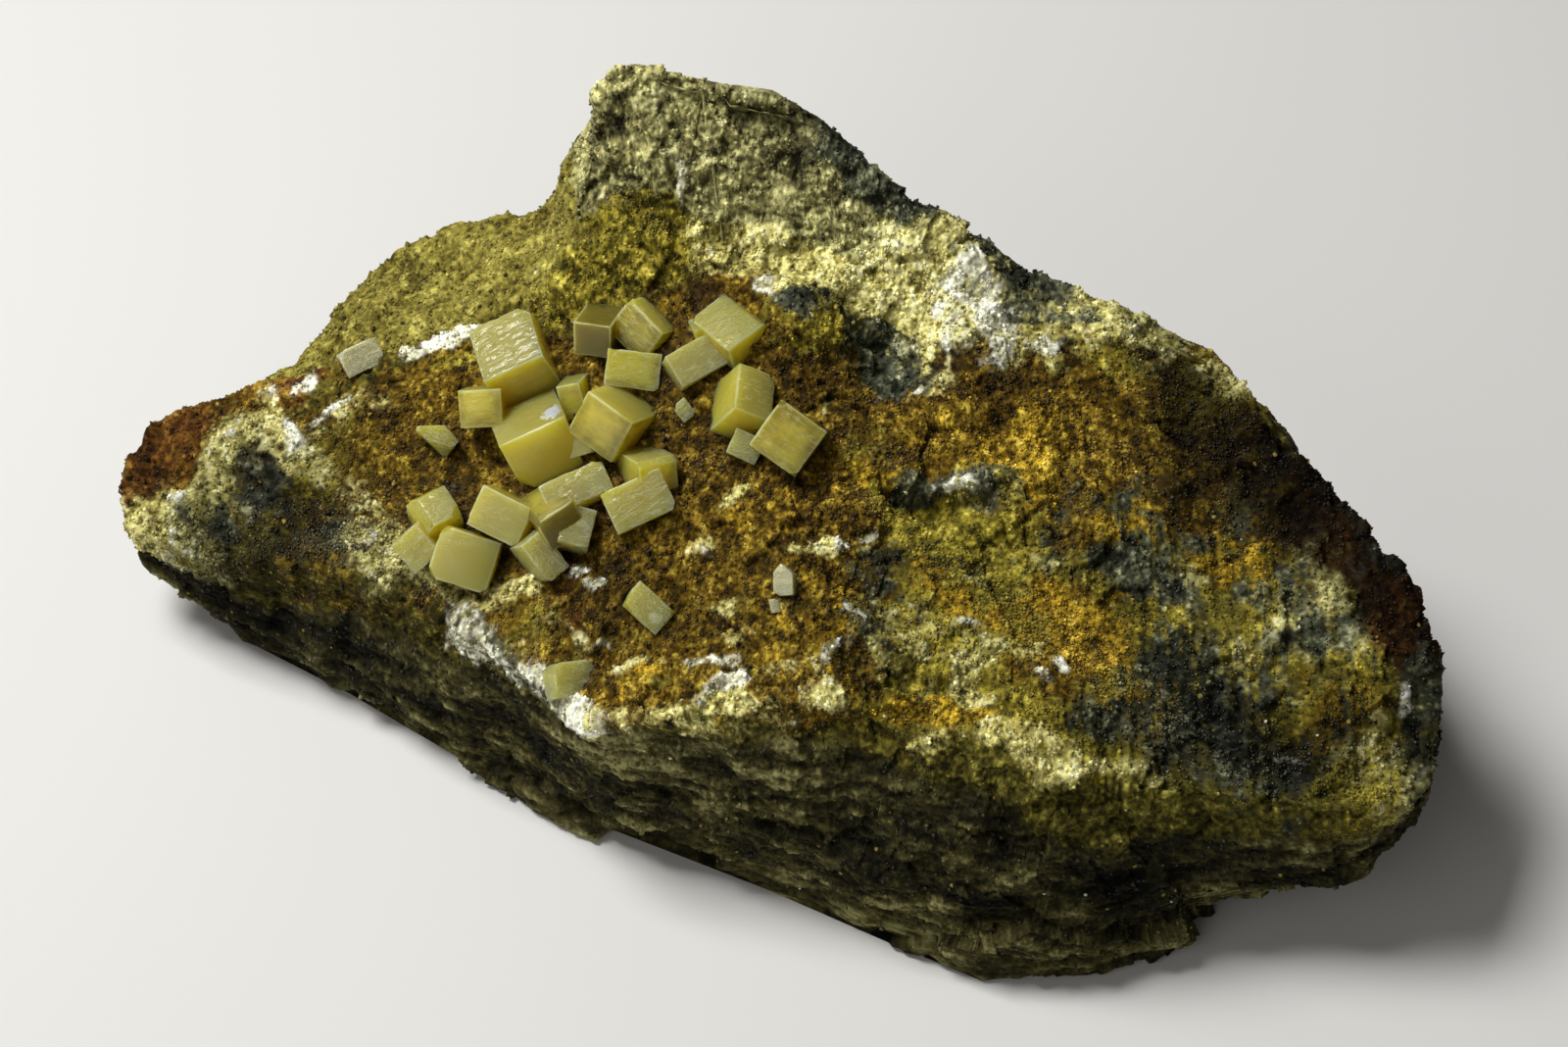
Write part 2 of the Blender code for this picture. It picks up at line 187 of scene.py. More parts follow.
rock = {
    # places and heights in mm; an outline is seen from above
    "uLines": ((-1, -0.66, 0.66, 1), (84, 112, 84)),      # the body's grid: stretches, and the cells in each,
    "vLines": ((-1, -0.90, 0.66, 1), (26, 60, 110)),      # close on the walls and wide under the crust
    "topShare": 0.68,          # the grid from its middle to here is the top
    "waistShare": 0.86,        # and from there to here the wall above its waist
    "stretch": 1.9,            # how much longer than wide the rock is
    "skew": 0.29,              # how far its long axis leans to the front, per mm of x
    "outlineSteps": 24,        # points from one corner of an outline to the next
    "rim": [
        (40.5, -17.5), (40.5, -10.0), (39.5, -7.0), (35.5, -2.0), (32.0, 1.0), (29.5, 5.0), (27.5, 7.5),
        (23.5, 8.5), (17.0, 11.0), (14.5, 12.5), (8.0, 14.0), (2.0, 17.5), (-3.5, 18.5), (-10.0, 20.0),
        (-12.5, 19.5), (-14.5, 21.0), (-23.0, 23.0), (-26.5, 23.0), (-30.5, 20.0), (-33.0, 17.0),
        (-35.0, 16.5), (-39.0, 13.0), (-42.0, 11.0), (-43.5, 8.5), (-43.5, 6.0), (-38.0, 2.5), (-30.0, 0.0),
        (-20.5, -6.0), (-16.0, -10.5), (-12.0, -14.0), (-2.5, -16.0), (4.0, -16.0), (12.0, -19.5),
        (19.0, -20.0), (27.0, -20.0), (34.0, -20.5), (38.5, -20.0),
    ],
    "waist": [
        (39.5, -18.5, 8.5), (41.0, -11.0, 8.0), (38.5, -1.0, 9.0), (33.0, 7.5, 11.0), (25.0, 14.0, 12.0),
        (12.0, 21.0, 13.0), (0.0, 26.0, 12.0), (-12.0, 29.0, 11.0), (-23.0, 28.0, 9.0), (-32.0, 21.0, 7.0),
        (-39.0, 13.5, 6.5), (-43.0, 8.0, 6.0), (-42.5, 5.5, 5.0), (-36.0, 1.0, 4.0), (-29.0, -2.0, 5.0),
        (-19.5, -8.0, 6.0), (-11.0, -14.5, 6.5), (0.0, -18.5, 7.0), (11.0, -23.5, 6.0), (19.0, -23.5, 6.0),
        (28.0, -22.5, 6.0), (35.0, -22.0, 6.5),
    ],
    "foot": [
        (26.5, -19.5), (32.0, -14.0), (34.0, -6.0), (30.0, 3.0), (23.0, 10.5), (14.0, 16.0), (4.0, 21.5),
        (-8.0, 25.0), (-18.0, 24.5), (-27.0, 19.5), (-33.0, 12.0), (-37.0, 6.0), (-35.5, 2.5), (-29.0, -1.5),
        (-17.0, -10.0), (-9.5, -13.5), (-1.0, -17.5), (6.5, -21.5), (12.5, -24.5), (18.5, -23.5),
        (23.0, -22.5),
    ],
    # flat faces of the top: height over the origin, rise per mm of x and of y
    "crystalFace": (23.4, 0.367, 0.377),
    "rightSlope": (23.9, -0.097, 0.384),
    "leftEnd": (26.5, 0.49, 0.465),
    "terrace": (31.0, 0.60, 0.06),
    "peakFace": (8.9, 0.24, 1.54),
    "faceBlend": 1.2,                  # width over which two faces round into each other
    "ridge": [(-45.0, 11.5), (-3.0, 12.5), (1.6, 11.5), (5.0, 15.0), (12.0, 30.0)],     # behind the crystals
    "ridgeDrop": 1.7,                  # fall behind that edge, per mm
    "terraceFront": (14.0, 2.0),       # y in front of which it falls, and by how much per mm
    "terraceEnd": (-7.0, 2.0),         # x to the right of which it falls, and by how much per mm
    "terraceTop": 28.5,
    "crest": 37.5,
    "crestFall": (-1.0, 0.72),         # x to the right of which the crest falls, and by how much per mm
    "peakLeft": (-11.0, 3.5),          # x to the left of which the peak falls, and by how much per mm
    # lumps and hollows: x, y, radius, height
    "lumps": [
        (-38.0, 9.5, 5.0, 1.2), (-12.0, -11.0, 2.5, -1.2), (1.5, 7.5, 2.6, 1.4), (6.0, 6.5, 3.2, -2.2),
        (9.0, -2.0, 2.2, -1.0), (10.0, -9.0, 6.0, -0.9), (15.0, -17.5, 3.5, 1.3), (21.0, 5.5, 4.5, 0.9),
        (36.0, -12.0, 4.0, 0.8),
    ],
    # broad waves, then broken chips of the top and of the wall: height and length
    "waves": [(0.45, 6.0), (0.25, 3.0)],
    "topChips": (0.35, 7.0),
    "wallChips": (1.0, 10.0),
    "lowestWall": 0.4,                 # the wall's relief goes no lower than this
}
tiny = 1e-12                 # keeps a division from zero


def outlineRadius(corners, angles):
    # radius at each angle of a closed outline, in the plan made round again: (x / stretch, y + skew x)
    steps = np.arange(len(corners) * rock["outlineSteps"]) / rock["outlineSteps"]
    closed = np.array(corners + corners[:1], dtype=float)
    x = np.interp(steps, np.arange(len(closed)), closed[:, 0])
    y = np.interp(steps, np.arange(len(closed)), closed[:, 1])
    flatX = x / rock["stretch"]
    flatY = y + rock["skew"] * x
    around = np.arctan2(flatY, flatX)
    order = np.argsort(around)
    return np.interp(angles, around[order], np.hypot(flatX, flatY)[order], period=2 * math.pi)


def planPoint(radius, angles):
    # x = stretch r cos a, y = r sin a - skew x
    x = rock["stretch"] * radius * np.cos(angles)
    return x, radius * np.sin(angles) - rock["skew"] * x


def softMin(a, b, width):
    # the lower of two heights, less a rounded fillet width * m (1 - m) where they cross
    mix = np.clip(0.5 + 0.5 * (b - a) / width, 0, 1)
    return b * (1 - mix) + a * mix - width * mix * (1 - mix)


def softMax(a, b, width):
    return -softMin(-a, -b, width)


def beyond(place, start):
    # how far a place is past a start, 0 before it
    return np.maximum(place - start, 0)


def faceHeight(face, x, y):
    # height = height over the origin + rise along x * x + rise along y * y
    return face[0] + face[1] * x + face[2] * y


def crestHeight(x):
    # level, then falling to the right
    start, fall = rock["crestFall"]
    return rock["crest"] - fall * beyond(x, start)


def topHeight(x, y):
    # soft minimum of the front faces, soft maximum with the terrace and the peak, plus round lumps
    blend = rock["faceBlend"]
    front = softMin(faceHeight(rock["crystalFace"], x, y), faceHeight(rock["rightSlope"], x, y), blend)
    front = softMin(front, faceHeight(rock["leftEnd"], x, y), blend)
    front = front - rock["ridgeDrop"] * beyond(y, np.interp(x, *np.transpose(rock["ridge"])))
    frontY, frontFall = rock["terraceFront"]
    endX, endFall = rock["terraceEnd"]
    terrace = faceHeight(rock["terrace"], x, y) - frontFall * beyond(frontY, y)
    terrace = softMin(terrace, rock["terraceTop"], blend) - endFall * beyond(x, endX)
    leftX, leftFall = rock["peakLeft"]
    crest = crestHeight(x) - leftFall * beyond(leftX, x)
    peak = softMin(faceHeight(rock["peakFace"], x, y), crest, blend)
    height = softMax(softMax(front, terrace, blend), peak, blend)
    for lumpX, lumpY, radius, rise in rock["lumps"]:
        height = height + rise * np.exp(-((x - lumpX) ** 2 + (y - lumpY) ** 2) / radius ** 2)
    return height


def rockForm(u, v):
    # a square made a disc: share = max(|u|, |v|) is how far out, and 45 degrees times v / u or u / v how far
    # round; shares up to topShare are the top, then the wall runs out to its waist and in to the flat foot
    share = np.maximum(np.abs(u), np.abs(v))
    level = np.abs(u) >= np.abs(v)
    safeU = np.where(u == 0, tiny, u)
    safeV = np.where(v == 0, tiny, v)
    turn = np.where(level, math.pi / 4 * v / safeU, math.pi / 2 - math.pi / 4 * u / safeV)
    turn = turn + math.pi * np.where(level, u < 0, v < 0)
    rim = outlineRadius(rock["rim"], turn)
    rimX, rimY = planPoint(rim, turn)
    waistX, waistY = planPoint(outlineRadius([corner[:2] for corner in rock["waist"]], turn), turn)
    footX, footY = planPoint(outlineRadius(rock["foot"], turn), turn)
    cornerTurn = [math.atan2(y + rock["skew"] * x, x / rock["stretch"]) for x, y, z in rock["waist"]]
    order = np.argsort(cornerTurn)
    waistHeight = np.array(rock["waist"])[order, 2]
    waistHeight = np.interp(turn, np.array(cornerTurn)[order], waistHeight, period=2 * math.pi)
    topX, topY = planPoint(rim * np.minimum(share / rock["topShare"], 1), turn)
    upper = np.clip((share - rock["topShare"]) / (rock["waistShare"] - rock["topShare"]), 0, 1)
    lower = np.clip((share - rock["waistShare"]) / (1 - rock["waistShare"]), 0, 1)
    x = topX + (waistX - rimX) * upper + (footX - waistX) * lower
    y = topY + (waistY - rimY) * upper + (footY - waistY) * lower
    z = topHeight(topX, topY)
    z = (z + (waistHeight - z) * upper) * (1 - lower)
    return np.stack((x, y, z), axis=-1), upper


def gridNormals(points):
    # cross product of the differences along both grid directions, scaled to length 1
    along = np.gradient(points, axis=0)
    across = np.gradient(points, axis=1)
    normals = np.cross(along, across)
    return normals / np.maximum(np.linalg.norm(normals, axis=-1, keepdims=True), tiny)


# Where each finish lies on the top: x, y, half lengths along and across, turn in degrees, strength
stains = {
    "rust": [
        (-21, 5, 10, 7, 0, 1.0), (-12, 3, 13, 10, 0, 1.0), (-4, 2, 10, 10, 0, 1.0), (-5, -8, 12, 7, -20, 1.0),
        (-13, -9, 7, 4, -30, 1.0), (2, -5, 4.5, 10, 0, 0.85), (11, 2.5, 10, 4, 0, 1.0),
        (19, 2.5, 9, 4.5, -10, 0.95), (26, 2.5, 5, 4.5, -30, 0.8), (17, -4, 4.5, 5, 0, 0.6),
        (-38, 10, 6, 3.2, 20, 0.9), (17, -11.5, 5, 4, 0, 0.65), (29, -3, 6, 4, -40, 0.6),
        (6, 10, 1.5, 1, 0, 0.5), (-30, 5, 6, 4, 20, 0.55),
    ],
    "ochre": [
        (1.6, 7.6, 3.6, 2.8, -30, 0.9), (-29.5, 6.2, 4.4, 2.2, 40, 0.8), (-14.5, 11.6, 2.6, 1.1, 0, 0.8),
        (9.5, -5, 6, 3.2, 0, 0.85), (14, -5.6, 5.4, 4.4, 0, 0.85), (12, -11, 5, 3.4, 0, 0.75),
        (22, -10.6, 6, 5.4, 0, 0.7), (29.5, -7.4, 4.2, 3.6, 0, 0.6), (34, -15.2, 4.4, 3.6, 0, 0.7),
        (27, -11, 4, 3.4, 0, 0.55), (-14.8, -8.2, 4.6, 2.0, -20, 0.75), (-10.5, 13.8, 5.5, 2.4, 0, 1.6),
        (-23, 18.5, 6, 4, 0, 0.5), (15.6, -17.2, 6, 1.8, -10, 0.8), (5, 0, 3, 2.5, 0, 0.5),
        (18.5, 6.2, 7, 3, -10, 0.75), (-19.5, 11.6, 3.4, 0.8, 10, 0.7), (-2.5, -6.2, 2.2, 1.2, 0, 0.6),
        (24.5, 4.6, 5.4, 3, -20, 0.65), (-31, 4.0, 4, 2.4, 10, 0.6), (10, -14.8, 5.4, 1.8, 0, 0.7),
        (-7.6, -10.2, 2.2, 1.2, 0, 0.6), (36, -19, 3.4, 2.4, 0, 0.7), (-37, 6, 5, 2.4, 20, 0.55),
        (0, -10, 4, 3, 0, 0.5), (6.0, -9.4, 2.8, 4.6, 0, 0.6), (-22, 6, 5, 2.5, 0, 0.45),
        (33, 0, 4, 4, -30, 0.4),
    ],
    "orange": [
        (9.5, 0.6, 5, 1.6, -5, 0.75), (15.5, 0.2, 4.4, 3.2, 0, 0.7), (5, -1.4, 3, 1.3, 0, 0.7),
        (13.2, -9.4, 4.0, 1.8, -15, 0.85), (17.2, -11.2, 3.4, 2.8, 0, 0.8), (8.8, -15.4, 3.2, 0.8, 0, 0.85),
        (2.0, -10.6, 3.6, 3.2, 0, 0.7), (-2, -12.2, 3, 1.6, 0, 0.65), (0, -5, 5, 4, 0, 0.55),
        (23, 1.2, 4, 3, 0, 0.5), (29, -6.4, 2.6, 1.5, 0, 0.7), (-9.5, -12.6, 2.2, 0.7, 10, 0.75),
        (-18, 10.4, 2.2, 1.1, 0, 0.5), (-25, 7.4, 3.4, 1.8, 0, 0.5), (34, -15.5, 3, 2.2, 0, 0.55),
        (-3.6, 11.6, 4.0, 1.1, 0, 0.6), (22, -3, 4, 2.4, 0, 0.5), (-10, -7.2, 4, 1.6, -10, 0.6),
        (21, -12, 3, 4, 0, 0.5),
    ],
    "darkRust": [
        (-9, 10.4, 9, 2.0, 0, 0.7), (-7.5, 7.5, 4.2, 3.2, 0, 0.8), (1.5, 4.4, 7, 2.8, -10, 0.7),
        (-5, 4, 5, 3.2, 0, 0.5), (-20.5, 3, 4.5, 2.2, -20, 0.6), (-26, 5, 3.2, 2.8, 0, 0.5),
        (-24, 9.5, 4, 2.0, 10, 0.6), (10, 5.2, 3.6, 1.6, 0, 0.85), (-9.5, -5.5, 3.2, 2.0, 0, 0.6),
        (-13, -6, 4, 1.6, 0, 0.6), (-33, 6.5, 1.6, 3.2, 20, 0.7), (6, 0.5, 4, 2.2, 0, 0.6),
        (-11.5, -11, 2.6, 1.6, -20, 0.8), (33, 0, 4.5, 5.5, -30, 0.75), (27, 0, 4, 4, -30, 0.6),
        (-3, -3, 4, 3, 0, 0.4), (-3.5, -7.2, 5, 3.2, 0, 0.55),
    ],
    "red": [
        (-40.5, 9.2, 4.4, 3.0, 25, 0.9), (-36.0, 11.6, 5.0, 2.2, 15, 0.8), (38.4, -8.6, 2.6, 3.4, -10, 0.85),
        (36.4, -3.4, 4.0, 4.2, -40, 0.7), (-4.2, 12.0, 2.6, 1.1, 0, 0.6), (-22.8, 8.0, 3.4, 1.6, 20, 0.55),
        (-14.6, -5.6, 3.4, 1.4, -20, 0.6), (-8.4, -10.8, 4.2, 1.2, -15, 0.65), (-3.2, 8.4, 2.6, 1.6, 0, 0.5),
        (-12.4, -7.0, 3.6, 1.3, -25, 0.75), (-9.6, -9.6, 4.0, 1.4, -20, 0.6),
        (-1.0, 3.6, 5.0, 1.6, -15, 0.45), (-18.5, 1.0, 2.4, 3.4, 20, 0.5), (-5.8, -8.0, 3.2, 1.2, -20, 0.6),
        (-6.6, -5.4, 3.0, 1.4, 0, 0.55), (1.4, -12.4, 2.2, 0.9, 10, 0.5),
    ],
    "slate": [
        (5.4, 6.4, 2.8, 2.2, -50, 1.0), (2.8, 9.0, 2.0, 0.9, -40, 0.9), (7.8, 4.9, 1.6, 1.3, 0, 0.9),
        (17.6, -5.2, 1.5, 4.0, 0, 0.65), (22.6, -7.2, 4.8, 2.0, -10, 0.8), (23.6, -3.4, 4, 3, 0, 0.65),
        (31.4, -8.6, 3.0, 4.4, 0, 0.65), (25.5, -14.5, 6.4, 4.0, 0, 0.75), (30.5, -17, 6, 3.2, 0, 0.75),
        (19.5, -15.5, 3.4, 2.0, 0, 0.6), (6.2, -7.4, 2.0, 2.4, 0, 0.55), (5.4, -11.6, 1.8, 1.6, 0, 0.5),
        (37.4, -3.8, 3.6, 4.6, -40, 0.55), (-33.8, 5.6, 3.0, 2.0, 20, 0.7), (-24.5, 2.4, 3.2, 1.8, 10, 0.6),
        (9.4, -2.9, 3.2, 0.8, -8, 0.9), (13.2, -2.6, 2.6, 1.2, 10, 0.75), (-21.0, 16.6, 3, 2.2, 0, 0.5),
        (13.4, 2.6, 1.7, 1.2, 0, 0.6), (39.6, -13, 1.8, 5, 0, 0.75), (-37, 5, 4, 2, 20, 0.6),
        (-30, 1.5, 5, 1.8, -20, 0.6), (35, -10, 3, 4, 0, 0.5), (28, -5, 3, 3, 0, 0.5),
    ],
    "cream": [
        (10.5, 9.2, 8.0, 3.2, -14, 1.0), (4.2, 10.8, 6.6, 1.3, -18, 0.95), (-2.4, 12.6, 6, 1.0, -5, 0.85),
        (20.5, 8.4, 6.5, 2.2, -14, 1.0), (16.6, 6.4, 3.8, 2.8, 0, 0.75), (9.4, 4.6, 1.6, 1.1, 30, 0.85),
        (15.4, -18, 5.6, 1.1, -12, 0.8), (24, -7.0, 2.2, 1.3, 0, 0.7), (-36.5, 7.6, 4.2, 2.2, 30, 0.65),
        (-38.6, 4.6, 2.0, 2.4, 0, 0.7), (-31.6, 7.2, 1.3, 2.4, 25, 0.8), (-27.6, 8.6, 2.0, 1.2, 20, 0.7),
        (-25.0, -0.4, 5.4, 1.0, -28, 0.65), (2.2, 0.6, 1.3, 1.8, 0, 0.5), (37, -17.4, 2.8, 2.2, 0, 0.65),
        (-4.6, -4.6, 1.5, 0.9, 0, 0.65), (-16.2, -8.4, 1.5, 0.9, 0, 0.65), (-5.2, -5.0, 1.3, 0.8, 10, 0.85),
        (-3.6, -9.3, 1.5, 0.9, 0, 0.85), (-16.9, -4.9, 1.5, 1.0, -30, 0.85),
        (-11.0, -9.1, 1.7, 0.8, -30, 0.85), (-9.3, -11.9, 1.7, 0.6, -25, 0.9), (-2.4, -2.2, 1.2, 0.8, 0, 0.8),
        (2.9, -6.4, 1.3, 0.5, 20, 0.8), (4.8, -6.0, 1.0, 0.6, 0, 0.75), (1.2, -9.0, 1.0, 0.8, 0, 0.7),
        (-13.9, -7.7, 1.3, 0.6, -20, 0.7), (14.2, -12.0, 2.8, 0.9, 10, 0.65),
        (11.8, -13.4, 2.6, 0.9, 20, 0.8), (12.6, -6.6, 2.2, 1.1, 0, 0.6), (0.5, -13.6, 1.8, 0.9, 0, 0.7),
        (26.4, 6.0, 2.8, 1.5, -20, 0.65), (-3.5, -10.6, 1.5, 0.9, 10, 0.65), (33.5, -6.5, 2.4, 2.4, 0, 0.5),
        (-12.0, 14.8, 4, 1.4, 0, 0.5), (-10.5, 13.7, 4.0, 1.3, 0, 0.6), (-16.8, 17.4, 3, 4, 0, 0.5),
        (31, -11, 3, 3, 0, 0.4), (8, -12, 4, 2, 0, 0.45), (16, -7, 3, 2, 0, 0.4),
        (-20, -4.6, 2.4, 1.0, -40, 0.6), (-41, 6, 1.6, 2, 0, 0.6),
    ],
    "white": [
        (11.6, 8.4, 3.2, 2.2, -10, 1.0), (8.6, 9.4, 2.6, 1.0, -25, 0.9), (13.8, 6.6, 1.8, 1.2, 30, 0.85),
        (-3.7, -14.5, 1.4, 0.9, 5, 0.8), (-31.0, 8.4, 0.6, 1.4, 40, 0.85), (-28.9, 9.2, 0.9, 0.5, 30, 0.7),
        (38.9, -14.0, 0.5, 1.3, -10, 1.0), (17.2, -12.6, 0.6, 0.5, 0, 0.9), (5.2, -11.0, 0.3, 0.8, 20, 0.8),
        (7.4, 4.3, 1.2, 0.5, 30, 0.7), (0.0, 10.6, 2.0, 0.4, -20, 0.55), (15.6, -13.4, 0.6, 0.4, 0, 0.55),
        (21.8, 7.6, 1.6, 0.8, 0, 0.5), (-39.8, 5.4, 0.6, 0.9, 0, 0.65), (-6.2, -12.4, 0.9, 0.5, 0, 0.6),
        (3.0, -13.4, 1.6, 0.5, 10, 0.5), (31.5, -17.5, 0.9, 0.6, 30, 0.55), (19.8, 8.6, 0.9, 0.5, 0, 0.6),
        (1.8, -14.6, 1.4, 0.4, 10, 0.4), (-35.4, 8.8, 1.0, 0.6, 30, 0.5), (-36.6, 7.4, 1.6, 0.8, 30, 0.55),
        (13.0, 4.6, 1.2, 0.8, 0, 0.5), (16.8, 6.4, 1.4, 0.9, 0, 0.5), (-4.7, -5.4, 0.7, 0.4, 0, 0.6),
        (-13.2, -5.5, 0.7, 0.3, -20, 0.8), (-11.9, -6.0, 0.6, 0.3, -10, 0.8),
        (-4.6, -12.6, 1.0, 0.5, -10, 0.8), (-10.9, -6.8, 0.5, 0.3, -20, 0.8), (3.4, -6.0, 0.7, 0.4, 20, 0.8),
        (-9.0, -12.2, 0.9, 0.4, -25, 0.7), (4.8, -5.0, 0.6, 0.4, 0, 0.75), (12.4, -10.2, 0.9, 0.6, 0, 0.7),
        (-10.6, -9.4, 0.9, 0.4, -30, 0.7), (-25.6, 0.4, 1.6, 0.5, -30, 0.5),
    ],
}
# Thin bands that follow an edge: points of the line, half width, strength
bands = {
    "white": [
        ([(-20.8, -5.4), (-19.2, -7.4), (-16.8, -9.8), (-14.0, -12.4), (-11.6, -14.2)], 0.8, 0.60),
        ([(-33.6, 11.2), (-31.0, 11.6)], 0.4, 0.55),
        ([(-24.0, 12.2), (-20.0, 12.6), (-16.4, 12.8)], 0.45, 0.75),
        ([(7.4, -1.4), (9.4, -2.0), (12.4, -1.9)], 0.4, 0.50),
        ([(-12.0, 12.9), (-5.0, 12.9)], 0.3, 0.42),
    ],
    "cream": [
        ([(-11.6, -14.4), (-6.0, -15.4), (3.0, -15.0)], 0.7, 0.55),
        ([(-34.0, 11.0), (-33.0, 8.0), (-29.4, 5.0), (-25.0, 0.5), (-21.2, -3.6)], 0.8, 0.65),
        ([(-43.0, 7.0), (-40.0, 3.6), (-37.0, 2.8)], 0.7, 0.7),
    ],
    "slate": [
        ([(-20.4, -6.2), (-16.4, -10.6), (-11.6, -14.8)], 0.9, 0.60),
        ([(7.4, -1.7), (12.6, -2.2)], 0.7, 0.75),
    ],
}
# Painted shade: patches that darken the stone where it turns away from the light: x, y, half lengths, turn, how
# much light they take
paintedShadePatches = [
    (28.4, 0.2, 6.0, 3.0, -25, 0.60), (27.0, 3.6, 4.6, 2.2, -35, 0.70), (34.5, -4.0, 6.5, 3.0, -45, 0.75),
    (25.5, -16.5, 7.0, 3.0, -5, 0.50), (22.5, -5.0, 4.5, 2.6, 0, 0.35), (-34.5, 3.6, 7.5, 4.0, 15, 0.50),
    (31.0, -16.0, 5.0, 3.0, 0, 0.40), (26.0, -10.0, 5.0, 4.0, 0, 0.30), (39.0, -11.0, 2.6, 7.0, 0, 0.65),
    (4.5, -9.5, 3.0, 4.0, 0, 0.15), (-28.0, -1.0, 9.0, 2.6, -25, 0.40), (-9.0, -8.5, 6.0, 3.0, -20, 0.36),
    (12.5, -9.5, 5.0, 3.6, 0, 0.25), (4.0, 17.2, 10.0, 1.6, -20, 0.40), (35.0, -17.5, 5.0, 2.6, 0, 0.25),
]
# ledges and cracks: points of the line, half width, height
ledges = [
    ([(7.2, -1.3), (9.4, -1.9), (12.6, -1.8)], 0.6, 0.5),
    ([(6.8, -2.6), (9.4, -3.2), (12.4, -3.0)], 0.7, -0.9),
    ([(11.0, -16.6), (14.5, -17.6), (18.0, -18.6)], 0.9, 0.5),
    ([(-17.0, -7.4), (-13.5, -7.0), (-10.5, -8.4)], 0.8, 0.4),
    ([(17.6, 0.0), (17.2, -5.5), (18.2, -12.0)], 0.7, -0.4),
    ([(20.0, -6.6), (24.0, -8.2)], 1.4, -0.7),
    ([(5.0, -12.4), (8.5, -14.2), (12.0, -14.4)], 0.6, -0.4),
    ([(-20.5, -5.6), (-16.8, -9.8), (-11.6, -14.2)], 0.8, 0.3),
    ([(26.0, -3.0), (31.0, -6.0), (36.0, -12.0)], 1.2, -0.4),
]
# the vein on the peak, as points in x and height
peakVein = [(-7.6, 33.6), (-6.4, 31.6), (-6.6, 30.0), (-7.6, 28.6), (-7.4, 27.0)]

stainEdges = {
    "reach": 1.6,                                       # half lengths from a stain's middle to where it ends
    "bandReach": 1.8,                                   # half widths from a band's line to where it ends
    "wander": ((1.5, 4.0, 300), (0.8, 1.4, 310)),       # how far noise moves the edges, its length, its seed
    "stainWander": 1.0,
    "bandWander": 0.35,
}
layout = {
    # a finish's edge: where it starts, where it is full and how far it wanders
    "bend": (3.2, 300, 2),                              # the noise it wanders with: length, seed, layers
    "top": (0.02, 0.35, 0.12),                          # where it ends, as a share from rim to waist
    "wall": (0.02, 0.5, 0.14),
    "hanging": ((-14, -26, 0.35), (10, 20, 0.22)),      # x and x, share of the wall the top's finishes hang
    "peak": (27.4, 29.4, 1.4),                          # heights
    "peakFront": 8,                                     # y in front of which there is no peak
    "terrace": (12.4, 13.8, 0.8),                       # y
    "terraceRight": (3, 1),                             # x
    "crestDepth": (4.4, 1.0, 2.0),                      # mm below the crest
    "crestRight": (-4, 3, 3),                           # x
    "crestTakes": 0.5,                                  # share of the peak's finish that the grey crest takes
    "greyNoise": (3.5, 335),
    "greyStretch": (0.6, 1.0, 1.0),
    "greyPatches": (-0.1, 0.5),
    "greyRight": (-9, 0),
    "greyStrength": 0.72,
    "vein": (0.50, 0.15, 0.2),                          # mm from its line
    "veinBend": 0.25,
    "veinStrength": 0.9,
    "wallNoise": (7.0, 330),
    "wallBrown": (0.0, 0.8, 0.75),                      # noise and noise, strength
    "wallGrey": (0.1, 0.8, 0.7),
}


def lineDistance(flat, line):
    # distance to the nearest point of a line of straight pieces
    nearest = np.full(len(flat), np.inf)
    for start, end in zip(np.array(line[:-1], float), np.array(line[1:], float)):
        run = end - start
        share = np.clip(((flat - start) @ run) / (run @ run), 0, 1)
        nearest = np.minimum(nearest, np.linalg.norm(flat - start - share[:, None] * run, axis=1))
    return nearest


def bentPlan(points, share):
    # x and y moved by a share of the edges' noise, so that an ellipse becomes a ragged stain
    moved = [
        sum(far * smoothNoise(points, length, seed + side) for far, length, seed in stainEdges["wander"])
        for side in (0, 1)
    ]
    return points[:, :2] + share * np.stack(moved, axis=-1)


def stainLevel(ellipses, lines, plan, edgePlan):
    # the highest of strength * (reach - d), held to 0..1, where d is hypot(x' / a, y' / b) for an ellipse and
    # distance / half width for a band
    level = np.zeros(len(plan))
    for x, y, halfLong, halfWide, turn, strength in ellipses:
        cosine, sine = math.cos(math.radians(turn)), math.sin(math.radians(turn))
        along = ((plan[:, 0] - x) * cosine + (plan[:, 1] - y) * sine) / halfLong
        across = ((plan[:, 1] - y) * cosine - (plan[:, 0] - x) * sine) / halfWide
        inside = np.clip(stainEdges["reach"] - np.sqrt(along ** 2 + across ** 2), 0, 1)
        level = np.maximum(level, strength * inside)
    for line, halfWidth, strength in lines:
        inside = np.clip(stainEdges["bandReach"] - lineDistance(edgePlan, line) / halfWidth, 0, 1)
        level = np.maximum(level, strength * inside)
    return level


def crestGap(points):
    # mm below the peak's crest
    return crestHeight(points[:, 0]) - points[:, 2]


def edgeStep(edge, value, bend, less=0):
    # smoothStep of value + wander * bend - less
    start, full, wander = edge
    return smoothStep(start, full, value + wander * bend - less)


def addLevel(levels, kind, level):
    # a finish lies as strongly as the strongest of what brings it
    levels[kind] = np.maximum(levels[kind], level)


